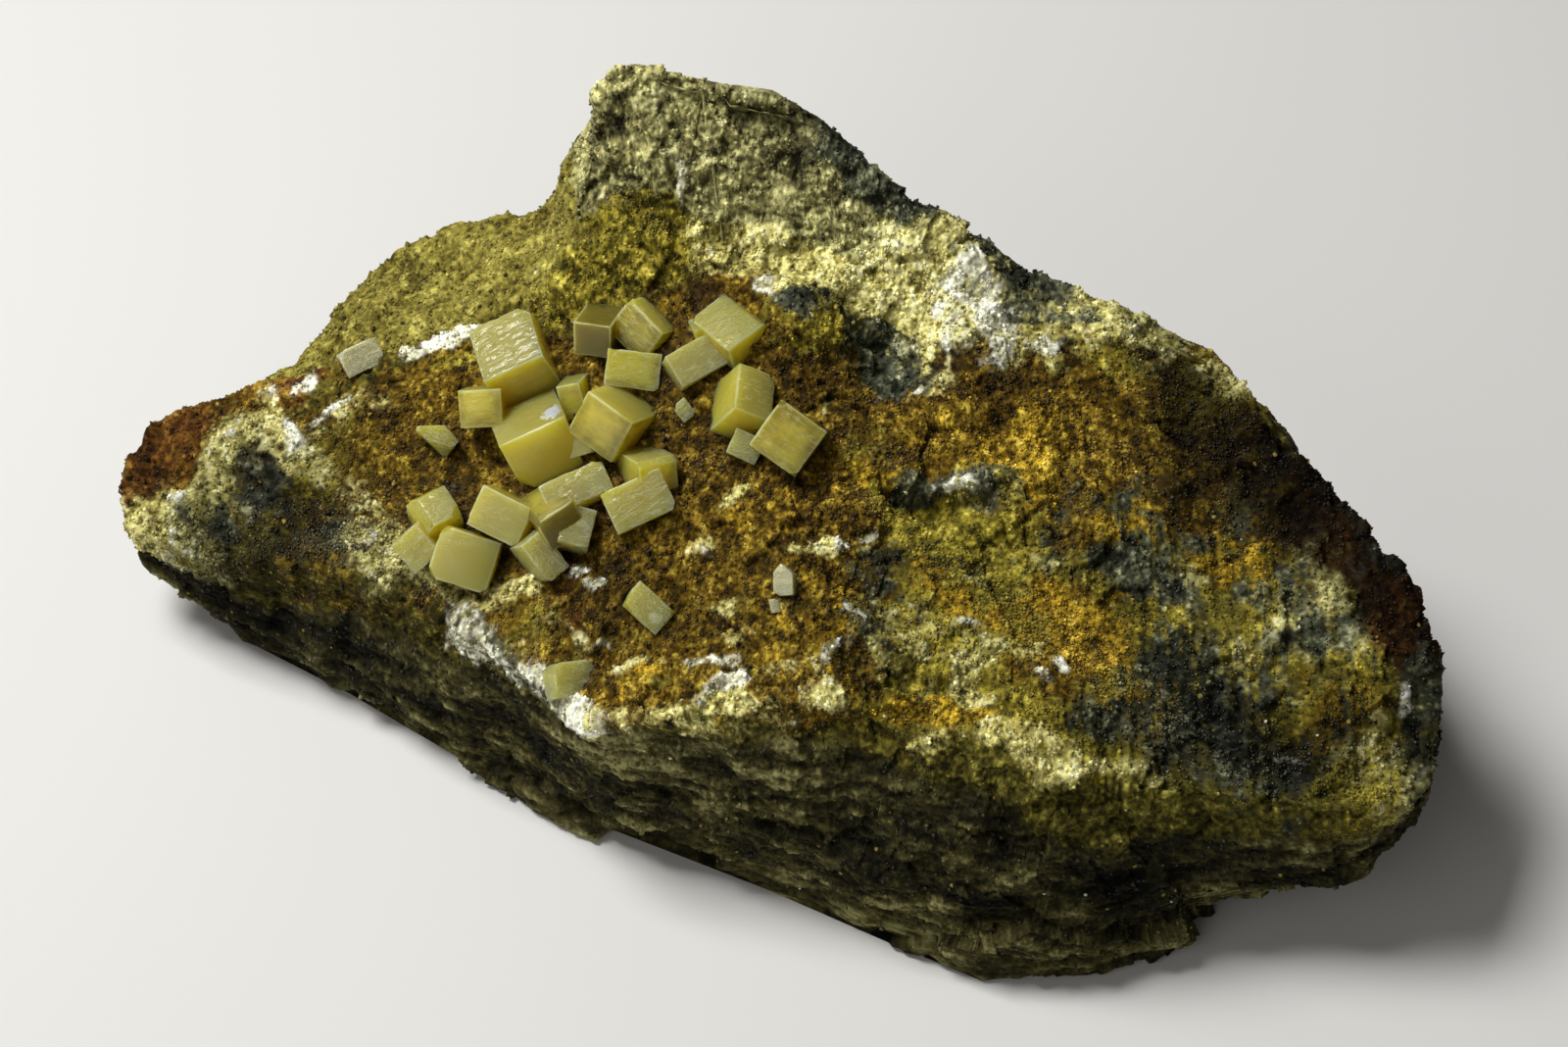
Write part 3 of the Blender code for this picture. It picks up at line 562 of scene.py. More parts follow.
def rockLevels(points, wall):
    # how strongly each finish lies at each point, 0..1, smooth over the stone
    x, y, z = points.T
    warp = layeredNoise(points, *layout["bend"])
    plan, edgePlan = bentPlan(points, stainEdges["stainWander"]), bentPlan(points, stainEdges["bandWander"])
    over = sum(share * smoothStep(start, full, x) for start, full, share in layout["hanging"])
    top = 1 - edgeStep(layout["top"], wall, warp, over)
    behind = y > layout["peakFront"]
    levels = {}
    for kind, places in stains.items():
        levels[kind] = stainLevel(places, bands.get(kind, []), plan, edgePlan) * top
    levels["peak"] = edgeStep(layout["peak"], z, warp) * behind * top
    terrace = edgeStep(layout["terrace"], y, warp) * top * (1 - levels["peak"])
    levels["terrace"] = terrace * smoothStep(*layout["terraceRight"], x)
    levels["wall"] = edgeStep(layout["wall"], wall, warp, over)
    crest = edgeStep(layout["crestDepth"], crestGap(points), warp) * edgeStep(layout["crestRight"], x, warp)
    addLevel(levels, "slate", crest * behind * top)
    levels["peak"] = levels["peak"] * (1 - layout["crestTakes"] * crest)
    patches = smoothNoise(points * layout["greyStretch"], *layout["greyNoise"])
    patches = smoothStep(*layout["greyPatches"], patches)
    greyed = patches * smoothStep(*layout["greyRight"], x) * layout["greyStrength"]
    addLevel(levels, "slate", levels["peak"] * greyed)
    fromVein = lineDistance(points[:, (0, 2)] + layout["veinBend"] * warp[:, None], peakVein)
    vein = edgeStep(layout["vein"], fromVein, warp) * levels["peak"] * layout["veinStrength"]
    addLevel(levels, "white", vein)
    brown = smoothNoise(points, *layout["wallNoise"])
    for kind, noise, (start, full, strength) in (
        ("darkRust", brown, layout["wallBrown"]), ("slate", -brown, layout["wallGrey"]),
    ):
        addLevel(levels, kind, levels["wall"] * smoothStep(start, full, noise) * strength)
    return levels


habits = {
    # finish: its score everywhere, its score where it lies, its own noise, its score on the combed slope
    "olive": (0.95, 0.0, 0.9, 0.0),
    "terrace": (0.0, 2.6, 0.7, 0.0),
    "peak": (0.0, 2.7, 0.7, 0.0),
    "wall": (0.0, 3.0, 0.8, 0.0),
    "rust": (0.0, 2.1, 1.3, 0.2),
    "ochre": (0.0, 2.1, 1.5, 0.9),
    "orange": (0.0, 2.3, 1.5, 0.6),
    "darkRust": (0.0, 2.3, 1.2, 0.0),
    "red": (0.0, 2.3, 1.1, 0.0),
    "slate": (0.0, 2.3, 1.4, -0.6),
    "cream": (0.0, 2.5, 1.8, 0.0),
    "white": (0.0, 3.0, 2.1, 0.0),
}
mixing = {
    "noise": (2.6, 5, 0.85),               # a finish's own noise: length, layers, how much each keeps
    "noiseGain": 1.3,
    "seeds": (350, 10),                    # the first finish's, and how much further each next one's is
    "combedStretch": (4.5, 0.6, 0.6),
    "combedNoise": (1.4, 340),
    "combedRight": (15, 19),               # x over which the combed slope begins
    "combedFront": (0, -5),                # y over which it begins
    "sharp": 6.5,
    "highest": 4,                          # scores are held to this
    "faintest": 0.001,                     # a level below this is none at all
}


def combing(points):
    # 0..1, where the right slope is combed downhill
    return smoothStep(*mixing["combedRight"], points[:, 0]) * smoothStep(*mixing["combedFront"], points[:, 1])


def finishShares(points, levels):
    # score = base + weight * level + grain * noise + combed * combed noise;
    # share = exp(sharp * score) over the sum of all of them
    length, layers, keep = mixing["noise"]
    firstSeed, seedStep = mixing["seeds"]
    combed = layeredNoise(points * mixing["combedStretch"], *mixing["combedNoise"])
    combed = combed * combing(points) * (1 - levels["wall"])
    shares = {}
    total = 0
    for number, (kind, (base, weight, grain, comb)) in enumerate(habits.items()):
        seed = firstSeed + seedStep * number
        noise = mixing["noiseGain"] * layeredNoise(points, length, seed, layers, keep)
        score = base + weight * levels.get(kind, 0) + grain * noise + comb * combed
        lies = levels[kind] > mixing["faintest"] if kind in levels else 1
        shares[kind] = np.exp(mixing["sharp"] * np.minimum(score, mixing["highest"])) * lies
        total = total + shares[kind]
    return {kind: share / total for kind, share in shares.items()}


relief = {
    # height in mm, then its noise: length, seed, and for layered noise the layers and how much each keeps
    "chipWander": (0.45, (1.6, 50, 3, 0.7)),
    "topChipSeed": 20,
    "wallChipSeed": 40,
    "smallChips": (0.32, (2.2, 60)),
    "roughness": (0.30, (1.3, 70, 4, 0.65)),
    "nodules": (0.17, (0.62, 80)),
    "noduleShares": (0.4, 0.6),            # everywhere, and added where iron stains lie
    "topEdge": (0.02, 0.35),               # where ledges and combing end, as a share from rim to waist
    "peakLayers": (0.50, (1.5, 90, 4, 0.75)),
    "peakPits": (0.16, (0.8, 100, 2, 0.7)),
    "pitWidth": 3,
    "peakChips": (0.15, (1.6, 105)),
    "layerStretch": (0.35, 1.0, 1.6),      # the peak splits along level layers
    "pitStretch": (0.6, 1.0, 1.3),
    "chipStretch": (0.5, 1.0, 1.4),
    "crestCalm": (2.5, 0.5, 0.5),          # mm below the crest: where it calms and is calm, and by what share
    "combed": (0.24, (1.5, 110)),
    "combedStretch": (3.0, 0.3, 0.3),
    "wallStreaks": (0.45, (1.8, 120, 5, 0.7)),
    "streakStretch": (0.4, 0.4, 1.4),      # the wall splits along level layers too
    "cream": 0.10,
    "white": (0.12, (0.7, 130)),
    "grit": (0.09, (0.45, 140, 2, 0.8)),
}


def wallStreaks(points):
    # layered noise drawn out level
    return layeredNoise(points * relief["streakStretch"], *relief["wallStreaks"][1])


def peakRelief(points, ragged):
    # layers - pits + chips, each drawn out level; a pit is 1 - width * |noise|
    layers = relief["peakLayers"][0] * layeredNoise(points * relief["layerStretch"], *relief["peakLayers"][1])
    veins = np.abs(layeredNoise(points * relief["pitStretch"], *relief["peakPits"][1]))
    pits = relief["peakPits"][0] * (1 - relief["pitWidth"] * veins)
    chips = relief["peakChips"][0] * brokenChips(ragged * relief["chipStretch"], *relief["peakChips"][1])
    return layers - pits + chips


def rockRelief(points, wall, levels):
    # two heights along the form's normal: waves, chips and ledges, then what only shows close up
    far, (length, seed, layers, keep) = relief["chipWander"]
    wander = [layeredNoise(points, length, seed + axis, layers, keep) for axis in range(3)]
    ragged = points + far * np.stack(wander, axis=-1)
    top = 1 - smoothStep(*relief["topEdge"], wall)
    coarse = sum(rise * smoothNoise(points, wave, seed) for seed, (rise, wave) in enumerate(rock["waves"]))
    for share, (rise, length), seed in (
        (1 - wall, rock["topChips"], relief["topChipSeed"]),
        (wall, rock["wallChips"], relief["wallChipSeed"]),
    ):
        coarse = coarse + share * rise * brokenChips(ragged, length, seed)
    for line, halfWidth, height in ledges:
        coarse = coarse + top * height * np.exp(-(lineDistance(points[:, :2], line) / halfWidth) ** 2)

    fine = relief["smallChips"][0] * brokenChips(ragged, *relief["smallChips"][1])
    fine = fine + relief["roughness"][0] * layeredNoise(points, *relief["roughness"][1])
    crusty = np.clip(levels["rust"] + levels["ochre"] + levels["orange"] + levels["red"], 0, 1)
    everywhere, added = relief["noduleShares"]
    nodules = brokenChips(points, *relief["nodules"][1], lumpy=True)
    fine = fine + (everywhere + added * crusty) * relief["nodules"][0] * nodules
    calmStart, calm, calmShare = relief["crestCalm"]
    calming = 1 - calmShare * smoothStep(calmStart, calm, crestGap(points))
    fine = fine + levels["peak"] * peakRelief(points, ragged) * calming
    combed = layeredNoise(points * relief["combedStretch"], *relief["combed"][1])
    fine = fine + combing(points) * top * relief["combed"][0] * combed
    fine = fine + levels["wall"] * relief["wallStreaks"][0] * wallStreaks(points)
    whiteGrain = 1 + smoothNoise(points, *relief["white"][1])
    fine = fine + levels["cream"] * relief["cream"] + levels["white"] * relief["white"][0] * whiteGrain
    return coarse, fine + relief["grit"][0] * layeredNoise(points, *relief["grit"][1])


finishes = {
    # finish: four tones as screen values, from its pits, darkened as painted shade, to its brightest grains
    "olive": ((0.10, 0.09, 0.03), (0.25, 0.23, 0.08), (0.42, 0.39, 0.15), (0.68, 0.64, 0.30)),
    "terrace": ((0.26, 0.23, 0.08), (0.46, 0.42, 0.17), (0.60, 0.56, 0.26), (0.80, 0.76, 0.40)),
    "peak": ((0.17, 0.16, 0.10), (0.50, 0.48, 0.30), (0.82, 0.80, 0.53), (1.00, 0.99, 0.80)),
    # wall tones are dark partly as the rock's own darker face and partly as painted shade of a side turned from
    # the light
    "wall": ((0.05, 0.05, 0.03), (0.16, 0.15, 0.08), (0.30, 0.28, 0.15), (0.56, 0.54, 0.35)),
    "rust": ((0.10, 0.08, 0.01), (0.27, 0.20, 0.04), (0.48, 0.38, 0.10), (0.80, 0.70, 0.27)),
    "ochre": ((0.19, 0.17, 0.04), (0.42, 0.38, 0.12), (0.67, 0.61, 0.21), (0.94, 0.88, 0.42)),
    "orange": ((0.20, 0.15, 0.02), (0.50, 0.40, 0.09), (0.80, 0.66, 0.18), (0.98, 0.88, 0.38)),
    "darkRust": ((0.05, 0.04, 0.02), (0.14, 0.10, 0.04), (0.26, 0.19, 0.07), (0.48, 0.39, 0.17)),
    "red": ((0.10, 0.05, 0.02), (0.27, 0.16, 0.05), (0.44, 0.29, 0.10), (0.66, 0.52, 0.23)),
    "slate": ((0.07, 0.08, 0.06), (0.18, 0.19, 0.14), (0.36, 0.37, 0.28), (0.76, 0.76, 0.58)),
    "cream": ((0.16, 0.15, 0.08), (0.66, 0.62, 0.33), (0.94, 0.91, 0.60), (1.00, 1.00, 0.84)),
    "white": ((0.26, 0.26, 0.20), (0.80, 0.79, 0.65), (1.00, 1.00, 0.91), (1.00, 1.00, 0.97)),
}
toning = {
    # where a point stands between its finish's four tones: base + depth (low in pits, as painted shade) + own
    # grain + clouds, by their shares
    "stops": (0.05, 0.38, 0.68, 0.98),                 # where the four tones stand, 0..1
    "base": 0.30,
    "pitShadeShare": 0.38,
    "ownShare": 0.75,
    "cloudShare": 0.22,
    "middleRelief": 0.12,                              # mm of fine relief that is neither pit nor crest
    "reliefGain": 0.9,
    "pitShadeRange": (-0.2, 1.1),
    "clouds": ((0.5, 5.5, 400), (0.3, 2.2, 401)),      # strength, length, seed
    "grit": (0.55, 410, 3, 1.0),
    "wallMix": (0.5, 1.1),                             # how much grit and level streaks a wall's grain has
    # the most that the painted shade darkens
    "paintedShadeLimit": 0.85,
}


def linearLight(screen):
    # screen value to light: ((s + 0.055) / 1.055) ^ 2.4
    return ((np.asarray(screen, float) + 0.055) / 1.055) ** 2.4


def stoneColour(points, shares, fine):
    # each finish's four tones along one noise, darker where the fine relief is low as painted shade in its
    # pits, added up by their shares
    # painted shade: low fine relief gives a low tone, so pits are painted darker
    depth = np.clip(0.5 + toning["reliefGain"] * (fine - toning["middleRelief"]), *toning["pitShadeRange"])
    clouds = sum(strength * smoothNoise(points, length, seed) for strength, length, seed in toning["clouds"])
    grit = layeredNoise(points, *toning["grit"])
    gritShare, streakShare = toning["wallMix"]
    wallGrain = gritShare * grit + streakShare * wallStreaks(points)
    colour = np.zeros((len(points), 3))
    for number, (kind, tones) in enumerate(finishes.items()):
        own = wallGrain if kind == "wall" else grit if number % 2 else -grit
        tone = toning["base"] + toning["pitShadeShare"] * depth + toning["ownShare"] * own
        tone = np.clip(tone + toning["cloudShare"] * clouds, 0, 1)
        tinted = [np.interp(tone, toning["stops"], channel) for channel in linearLight(tones).T]
        colour += np.stack(tinted, axis=-1) * shares[kind][:, None]
    # painted shade: these patches darken the colour where the stone turns away from the light
    plan = bentPlan(points, stainEdges["stainWander"])
    paintedShade = sum(
        taken * stainLevel([(x, y, halfLong, halfWide, turn, 1.0)], [], plan, plan)
        for x, y, halfLong, halfWide, turn, taken in paintedShadePatches
    )
    return colour * (1 - np.clip(paintedShade, 0, toning["paintedShadeLimit"]))[:, None]


def meshFrom(name, points, triangles, values=None, colours=None):
    # points in mm and corner numbers, put into a mesh in metres with its values and colours per point
    mesh = bpy.data.meshes.new(name)
    mesh.vertices.add(len(points))
    mesh.vertices.foreach_set("co", (points * mm).astype(np.float32).ravel())
    mesh.loops.add(triangles.size)
    mesh.loops.foreach_set("vertex_index", triangles.astype(np.int32).ravel())
    mesh.polygons.add(len(triangles))
    mesh.polygons.foreach_set("loop_start", np.arange(0, triangles.size, 3, dtype=np.int32))
    mesh.polygons.foreach_set("loop_total", np.full(len(triangles), 3, dtype=np.int32))
    for kind, numbers in (values or {}).items():
        numbers = np.asarray(numbers, dtype=np.float32)
        layer = mesh.attributes.new(kind, "FLOAT_VECTOR" if numbers.ndim == 2 else "FLOAT", "POINT")
        layer.data.foreach_set("vector" if numbers.ndim == 2 else "value", numbers.ravel())
    if colours is not None:
        solid = np.column_stack((colours, np.ones(len(colours)))).astype(np.float32)
        mesh.attributes.new("stain", "FLOAT_COLOR", "POINT").data.foreach_set("color", solid.ravel())
    mesh.update(calc_edges=True)
    mesh.validate()
    return mesh


def pieceFrom(name, mesh, material):
    mesh.materials.append(material)
    piece = bpy.data.objects.new(name, mesh)
    bpy.context.scene.collection.objects.link(piece)
    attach(piece, "root")
    return piece


def shortDiagonals(points):
    # two triangles per grid cell, split along the shorter diagonal
    rows, columns = points.shape[:2]
    number = np.arange(rows * columns).reshape(rows, columns)
    a, b, c, d = number[:-1, :-1], number[1:, :-1], number[1:, 1:], number[:-1, 1:]
    first = np.linalg.norm(points[:-1, :-1] - points[1:, 1:], axis=-1)
    second = np.linalg.norm(points[1:, :-1] - points[:-1, 1:], axis=-1)
    flip = (second < first).ravel()
    a, b, c, d = a.ravel(), b.ravel(), c.ravel(), d.ravel()
    upper = np.where(flip[:, None], np.stack((a, b, d), 1), np.stack((a, b, c), 1))
    lower = np.where(flip[:, None], np.stack((b, c, d), 1), np.stack((a, c, d), 1))
    return np.concatenate((upper, lower))


def borderLoop(shape):
    # numbers of a grid's border points, once round
    number = np.arange(shape[0] * shape[1]).reshape(shape)
    return np.concatenate((number[:-1, 0], number[-1, :-1], number[:0:-1, -1], number[0, :0:-1]))


crust = {
    # the close-up crust: where it lies on the grid, its pieces along u, its cells, and how it meets the stone
    "uEdges": (-0.96, -0.44, -0.13, 0.14, 0.42, 0.96),
    "vEdges": (-0.96, -0.68, 0.70),
    "uCells": 206,           # cells of a piece along u, and of each stretch along v
    "vCells": (124, 338),
    "dip": 0.5,              # mm that its outer edge sinks
    "recess": 1.3,           # mm that the stone is lower under it
    "fade": 0.03,            # share of the grid over which both happen
    "skirt": 0.8,            # mm that a piece's sides go down
    "heart": 3.0,            # height of the inner point that closes a piece
    "tint": 0.5,             # neither lighter nor darker than its stains
}


def stoneSurface(uLines, vLines, skin):
    # form + normal * relief on a grid one line larger all round, then cropped, so that pieces meet exactly
    uWide = np.concatenate(([2 * uLines[0] - uLines[1]], uLines, [2 * uLines[-1] - uLines[-2]]))
    vWide = np.concatenate(([2 * vLines[0] - vLines[1]], vLines, [2 * vLines[-1] - vLines[-2]]))
    u, v = np.meshgrid(uWide, vWide, indexing="ij")
    form, wall = rockForm(np.clip(u, -1, 1), np.clip(v, -1, 1))
    normals = gridNormals(form)
    flat, flatWall = form.reshape(-1, 3), wall.ravel()
    levels = rockLevels(flat, flatWall)
    coarse, fine = (part.reshape(u.shape) for part in rockRelief(flat, flatWall, levels))
    shares = finishShares(flat, levels)
    (uStart, *_, uEnd), (vStart, *_, vEnd) = crust["uEdges"], crust["vEdges"]
    inside = np.minimum.reduce([u - uStart, uEnd - u, v - vStart, vEnd - v])
    covered = smoothStep(0.0, crust["fade"], inside)
    if skin:
        height = coarse + fine - (1 - covered) * crust["dip"]
    else:
        height = coarse + fine * (1 - covered) - covered * crust["recess"]
    points = form + normals * height[..., None]
    points[..., 2] = np.maximum(points[..., 2], rock["lowestWall"])
    colours = stoneColour(flat, shares, fine.ravel()).reshape(*u.shape, 3)
    crop = (slice(1, -1), slice(1, -1))
    return {
        "points": points[crop],
        "normals": gridNormals(points)[crop],
        "shares": {kind: values.reshape(u.shape)[crop] for kind, values in shares.items()},
        "colours": colours[crop],
        "form": form[crop],
        "formNormals": normals[crop],
        "shown": (np.ones(u.shape) if skin else 1 - covered)[crop],
    }


def gridLines(ends, counts):
    # lines from end to end, even within each stretch
    stretches = zip(ends[:-1], ends[1:], counts)
    lines = [np.linspace(start, end, count, endpoint=False) for start, end, count in stretches]
    return np.append(np.concatenate(lines), ends[-1])


def makeStoneBody(material):
    # the grid wrapped round the stone, and a fan of triangles that closes its flat foot
    surface = stoneSurface(gridLines(*rock["uLines"]), gridLines(*rock["vLines"]), False)
    points = surface["points"]
    loop = borderLoop(points.shape[:2])
    flat = points.reshape(-1, 3)
    flat[loop] = surface["form"].reshape(-1, 3)[loop]
    fan = np.stack((np.roll(loop, -1), loop, np.full(len(loop), len(flat))), axis=1)
    triangles = np.concatenate((shortDiagonals(points), fan))
    colours = surface["colours"].reshape(-1, 3)
    colours = np.concatenate((colours, colours[:1]))
    values = {
        "tint": np.full(len(flat) + 1, crust["tint"]),
        "gloss": np.append(surface["shares"]["slate"].ravel(), 0),
    }
    mesh = meshFrom("matrixRock", np.concatenate((flat, [(0, 0, 0)])), triangles, values, colours)
    mesh.shade_smooth()
    piece = pieceFrom("matrixRock", mesh, material)
    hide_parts("matrix_rock")
    print("matrix rock:", len(mesh.polygons), "triangles")
    return surface


def makeSkinPiece(name, uLines, vLines, material):
    # one piece of close-up crust: its grid, a skirt down from the border, and a fan to a point deep inside
    surface = stoneSurface(uLines, vLines, True)
    points = surface["points"]
    flat = points.reshape(-1, 3)
    loop = borderLoop(points.shape[:2])
    skirt = flat[loop] - surface["formNormals"].reshape(-1, 3)[loop] * crust["skirt"]
    heart = np.array([(*flat[:, :2].mean(axis=0), crust["heart"])])
    ring = len(flat) + np.arange(len(loop))
    nextLoop, nextRing = np.roll(loop, -1), np.roll(ring, -1)
    sides = np.concatenate((np.stack((loop, ring, nextLoop), 1), np.stack((ring, nextRing, nextLoop), 1)))
    fan = np.stack((nextRing, ring, np.full(len(loop), len(flat) + len(loop))), axis=1)
    triangles = np.concatenate((shortDiagonals(points), sides, fan))
    colours = surface["colours"].reshape(-1, 3)
    colours = np.concatenate((colours, colours[loop], colours[:1]))
    gloss = surface["shares"]["slate"].ravel()
    values = {
        "tint": np.full(len(colours), crust["tint"]),
        "gloss": np.concatenate((gloss, gloss[loop], gloss[:1])),
    }
    mesh = meshFrom(name, np.concatenate((flat, skirt, heart)), triangles, values, colours)
    mesh.shade_smooth()
    pieceFrom(name, mesh, material)
    print(name + ":", len(mesh.polygons), "triangles")
    return surface


def makeSkin(material):
    coarser = 1
    vLines = gridLines(crust["vEdges"], [cells // coarser for cells in crust["vCells"]])
    surfaces = []
    for number, (start, end) in enumerate(zip(crust["uEdges"][:-1], crust["uEdges"][1:]), start=1):
        uLines = np.linspace(start, end, crust["uCells"] // coarser + 1)
        surfaces.append(makeSkinPiece("rockSkin" + str(number), uLines, vLines, material))
    return surfaces


grainSets = {
    # how many, smallest and largest half size in mm, the share of it that they stand out, and how much each
    # finish carries them
    "rustGrains": {
        "count": 24500, "size": (0.05, 0.15), "lift": 0.2,
        "on": {"rust": 1.0, "darkRust": 0.6, "orange": 0.8, "red": 0.6},
    },
    "ochreGrains": {
        "count": 24500, "size": (0.05, 0.15), "lift": 0.25,
        "on": {"ochre": 1.0, "orange": 0.6, "rust": 0.35, "terrace": 0.2},
    },
    "paleGrains": {
        "count": 24000, "size": (0.05, 0.20), "lift": 0.15,
        "on": {"cream": 1.0, "white": 0.7, "peak": 0.6, "slate": 0.5, "terrace": 0.4, "wall": 0.12},
    },
}
scatter = {
    "seed": 11,
    "anywhere": 0.02,              # chance on a finish that carries none
    "patchLength": 1.7,            # mm of the noise that gathers them in patches
    "patchGain": (0.75, 0.8),
    "patchRange": (0.08, 2),
    "lowest": 1.0,                 # none grow under this height
    "bare": 0.9,                   # nor on the body where less than this share of it shows
    "mostlySmall": 2.2,            # power that makes small ones more common
    "lopsided": (0.65, 1.35),      # how far each tip is from the middle, times the half size
}
grainTips = [(1, 0, 0), (-1, 0, 0), (0, 1, 0), (0, -1, 0), (0, 0, 1), (0, 0, -1)]
grainFaces = [(0, 2, 4), (2, 1, 4), (1, 3, 4), (3, 0, 4), (2, 0, 5), (1, 2, 5), (3, 1, 5), (0, 3, 5)]


def randomTurns(count, random):
    # rotation matrices of unit quaternions drawn evenly over all turns
    four = random.normal(size=(count, 4))
    w, x, y, z = (four / np.linalg.norm(four, axis=1, keepdims=True)).T
    return np.stack([
        np.stack([1 - 2 * (y * y + z * z), 2 * (x * y - w * z), 2 * (x * z + w * y)], -1),
        np.stack([2 * (x * y + w * z), 1 - 2 * (x * x + z * z), 2 * (y * z - w * x)], -1),
        np.stack([2 * (x * z - w * y), 2 * (y * z + w * x), 1 - 2 * (x * x + y * y)], -1),
    ], axis=1)


def grainChances(values, surface, seed):
    # each grid cell's chance: its area * how much its finishes carry these grains * patches
    points = surface["points"]
    middle, gain = scatter["patchGain"]
    weight = sum(share * surface["shares"][kind] for kind, share in values["on"].items())
    weight = weight + scatter["anywhere"]
    patchy = smoothNoise(points.reshape(-1, 3), scatter["patchLength"], seed).reshape(points.shape[:2])
    weight = weight * np.clip(middle + gain * patchy, *scatter["patchRange"])
    weight = weight * (points[..., 2] > scatter["lowest"]) * (surface["shown"] > scatter["bare"])
    sideU = np.linalg.norm(points[1:, :-1] - points[:-1, :-1], axis=-1)
    sideV = np.linalg.norm(points[:-1, 1:] - points[:-1, :-1], axis=-1)
    return (sideU * sideV * weight[:-1, :-1]).ravel()


def grainPlaces(values, surfaces, random, seed):
    # cells drawn by their chances, a place inside each, and the normal, colour and gloss of what is under it
    chance = np.concatenate([grainChances(values, surface, seed) for surface in surfaces])
    cell = random.choice(len(chance), size=values["count"], p=chance / chance.sum())
    a, b = random.random((2, values["count"], 1))
    corners = []
    for surface in surfaces:
        points = surface["points"]
        cells = np.stack((points[:-1, :-1], points[1:, :-1], points[:-1, 1:], points[1:, 1:]), axis=2)
        corners.append(cells.reshape(-1, 4, 3))
    four = np.concatenate(corners)[cell]
    low = four[:, 0] * (1 - a) + four[:, 1] * a
    high = four[:, 2] * (1 - a) + four[:, 3] * a
    normal = np.concatenate([surface["normals"][:-1, :-1].reshape(-1, 3) for surface in surfaces])[cell]
    colour = np.concatenate([surface["colours"][:-1, :-1].reshape(-1, 3) for surface in surfaces])[cell]
    gloss = np.concatenate([surface["shares"]["slate"][:-1, :-1].ravel() for surface in surfaces])[cell]
    return low * (1 - b) + high * b, normal, colour, gloss


def makeGrains(name, surfaces, material, seed):
    # eight-sided grains, each turned its own way and a little lighter or darker than what it grew on
    values = grainSets[name]
    count = values["count"]
    random = np.random.default_rng(seed)
    centre, normal, colour, gloss = grainPlaces(values, surfaces, random, seed)
    smallest, largest = values["size"]
    size = smallest + (largest - smallest) * random.random(count) ** scatter["mostlySmall"]
    centre = centre + normal * (size * values["lift"])[:, None]
    tips = np.array(grainTips, dtype=float)
    faces = np.array(grainFaces)
    reach = size[:, None] * random.uniform(*scatter["lopsided"], (count, len(tips)))
    corners = np.einsum("nij,nkj->nki", randomTurns(count, random), tips[None] * reach[..., None])
    corners = corners + centre[:, None]
    triangles = (faces[None] + len(tips) * np.arange(count)[:, None, None]).reshape(-1, 3)
    numbers = {"tint": np.repeat(random.random(count), len(tips)), "gloss": np.repeat(gloss, len(tips))}
    mesh = meshFrom(name, corners.reshape(-1, 3), triangles, numbers, np.repeat(colour, len(tips), axis=0))
    pieceFrom(name, mesh, material)
    print(name + ":", len(mesh.polygons), "triangles")


socketTypes = {"colour": "NodeSocketColor", "value": "NodeSocketFloat", "vector": "NodeSocketVector"}


def newGroup(name, inputs, outputs):
    group = bpy.data.node_groups.new(name, "ShaderNodeTree")
    for socketName, kind, default in inputs:
        socket = group.interface.new_socket(socketName, in_out="INPUT", socket_type=socketTypes[kind])
        socket.default_value = (*default, 1) if kind == "colour" else default
    for socketName, kind in outputs:
        group.interface.new_socket(socketName, in_out="OUTPUT", socket_type=socketTypes[kind])
    return group, group.nodes.new("NodeGroupInput"), group.nodes.new("NodeGroupOutput")


def connect(tree, source, target):
    # a source is a socket, a number or a colour
    if isinstance(source, bpy.types.NodeSocket):
        tree.links.new(source, target)
    elif isinstance(source, tuple) and len(source) == 3 and target.type == "RGBA":
        target.default_value = (*source, 1)
    else:
        target.default_value = source


def addMath(tree, operation, a, b):
    node = tree.nodes.new("ShaderNodeMath")
    node.operation = operation
    for socket, value in zip(node.inputs, (a, b)):
        connect(tree, value, socket)
    return node.outputs[0]


def addRange(tree, value, low, high, toLow=0.0, toHigh=1.0, smooth=True):
    node = tree.nodes.new("ShaderNodeMapRange")
    node.interpolation_type = "SMOOTHSTEP" if smooth else "LINEAR"
    for name, number in (("From Min", low), ("From Max", high), ("To Min", toLow), ("To Max", toHigh)):
        connect(tree, number, node.inputs[name])
    connect(tree, value, node.inputs["Value"])
    return node.outputs["Result"]


def addMix(tree, share, a, b):
    node = tree.nodes.new("ShaderNodeMix")
    node.data_type = "RGBA"
    connect(tree, share, node.inputs["Factor"])
    connect(tree, a, node.inputs["A"])
    connect(tree, b, node.inputs["B"])
    return node.outputs["Result"]


def addNoise(tree, place, scale, detail, rough, distortion=0.0):
    node = tree.nodes.new("ShaderNodeTexNoise")
    named = (("Scale", scale), ("Detail", detail), ("Roughness", rough), ("Distortion", distortion))
    for name, value in named:
        connect(tree, value, node.inputs[name])
    connect(tree, place, node.inputs["Vector"])
    return node.outputs["Fac"]


def addCells(tree, place, scale):
    node = tree.nodes.new("ShaderNodeTexVoronoi")
    connect(tree, scale, node.inputs["Scale"])
    connect(tree, place, node.inputs["Vector"])
    return node.outputs


def addAttribute(tree, name, output="Fac"):
    node = tree.nodes.new("ShaderNodeAttribute")
    node.attribute_name = name
    return node.outputs[output]


def addStretch(tree, place, scale):
    node = tree.nodes.new("ShaderNodeMapping")
    node.inputs["Scale"].default_value = scale
    connect(tree, place, node.inputs["Vector"])
    return node.outputs["Vector"]


def addGroup(tree, group, values):
    node = tree.nodes.new("ShaderNodeGroup")
    node.node_tree = group
    for name, value in values.items():
        connect(tree, value, node.inputs[name])
    return node.outputs


def addLighter(tree, colour, value):
    # a colour with its lightness multiplied
    node = tree.nodes.new("ShaderNodeHueSaturation")
    connect(tree, value, node.inputs["Value"])
    connect(tree, colour, node.inputs["Color"])
    return node.outputs["Color"]


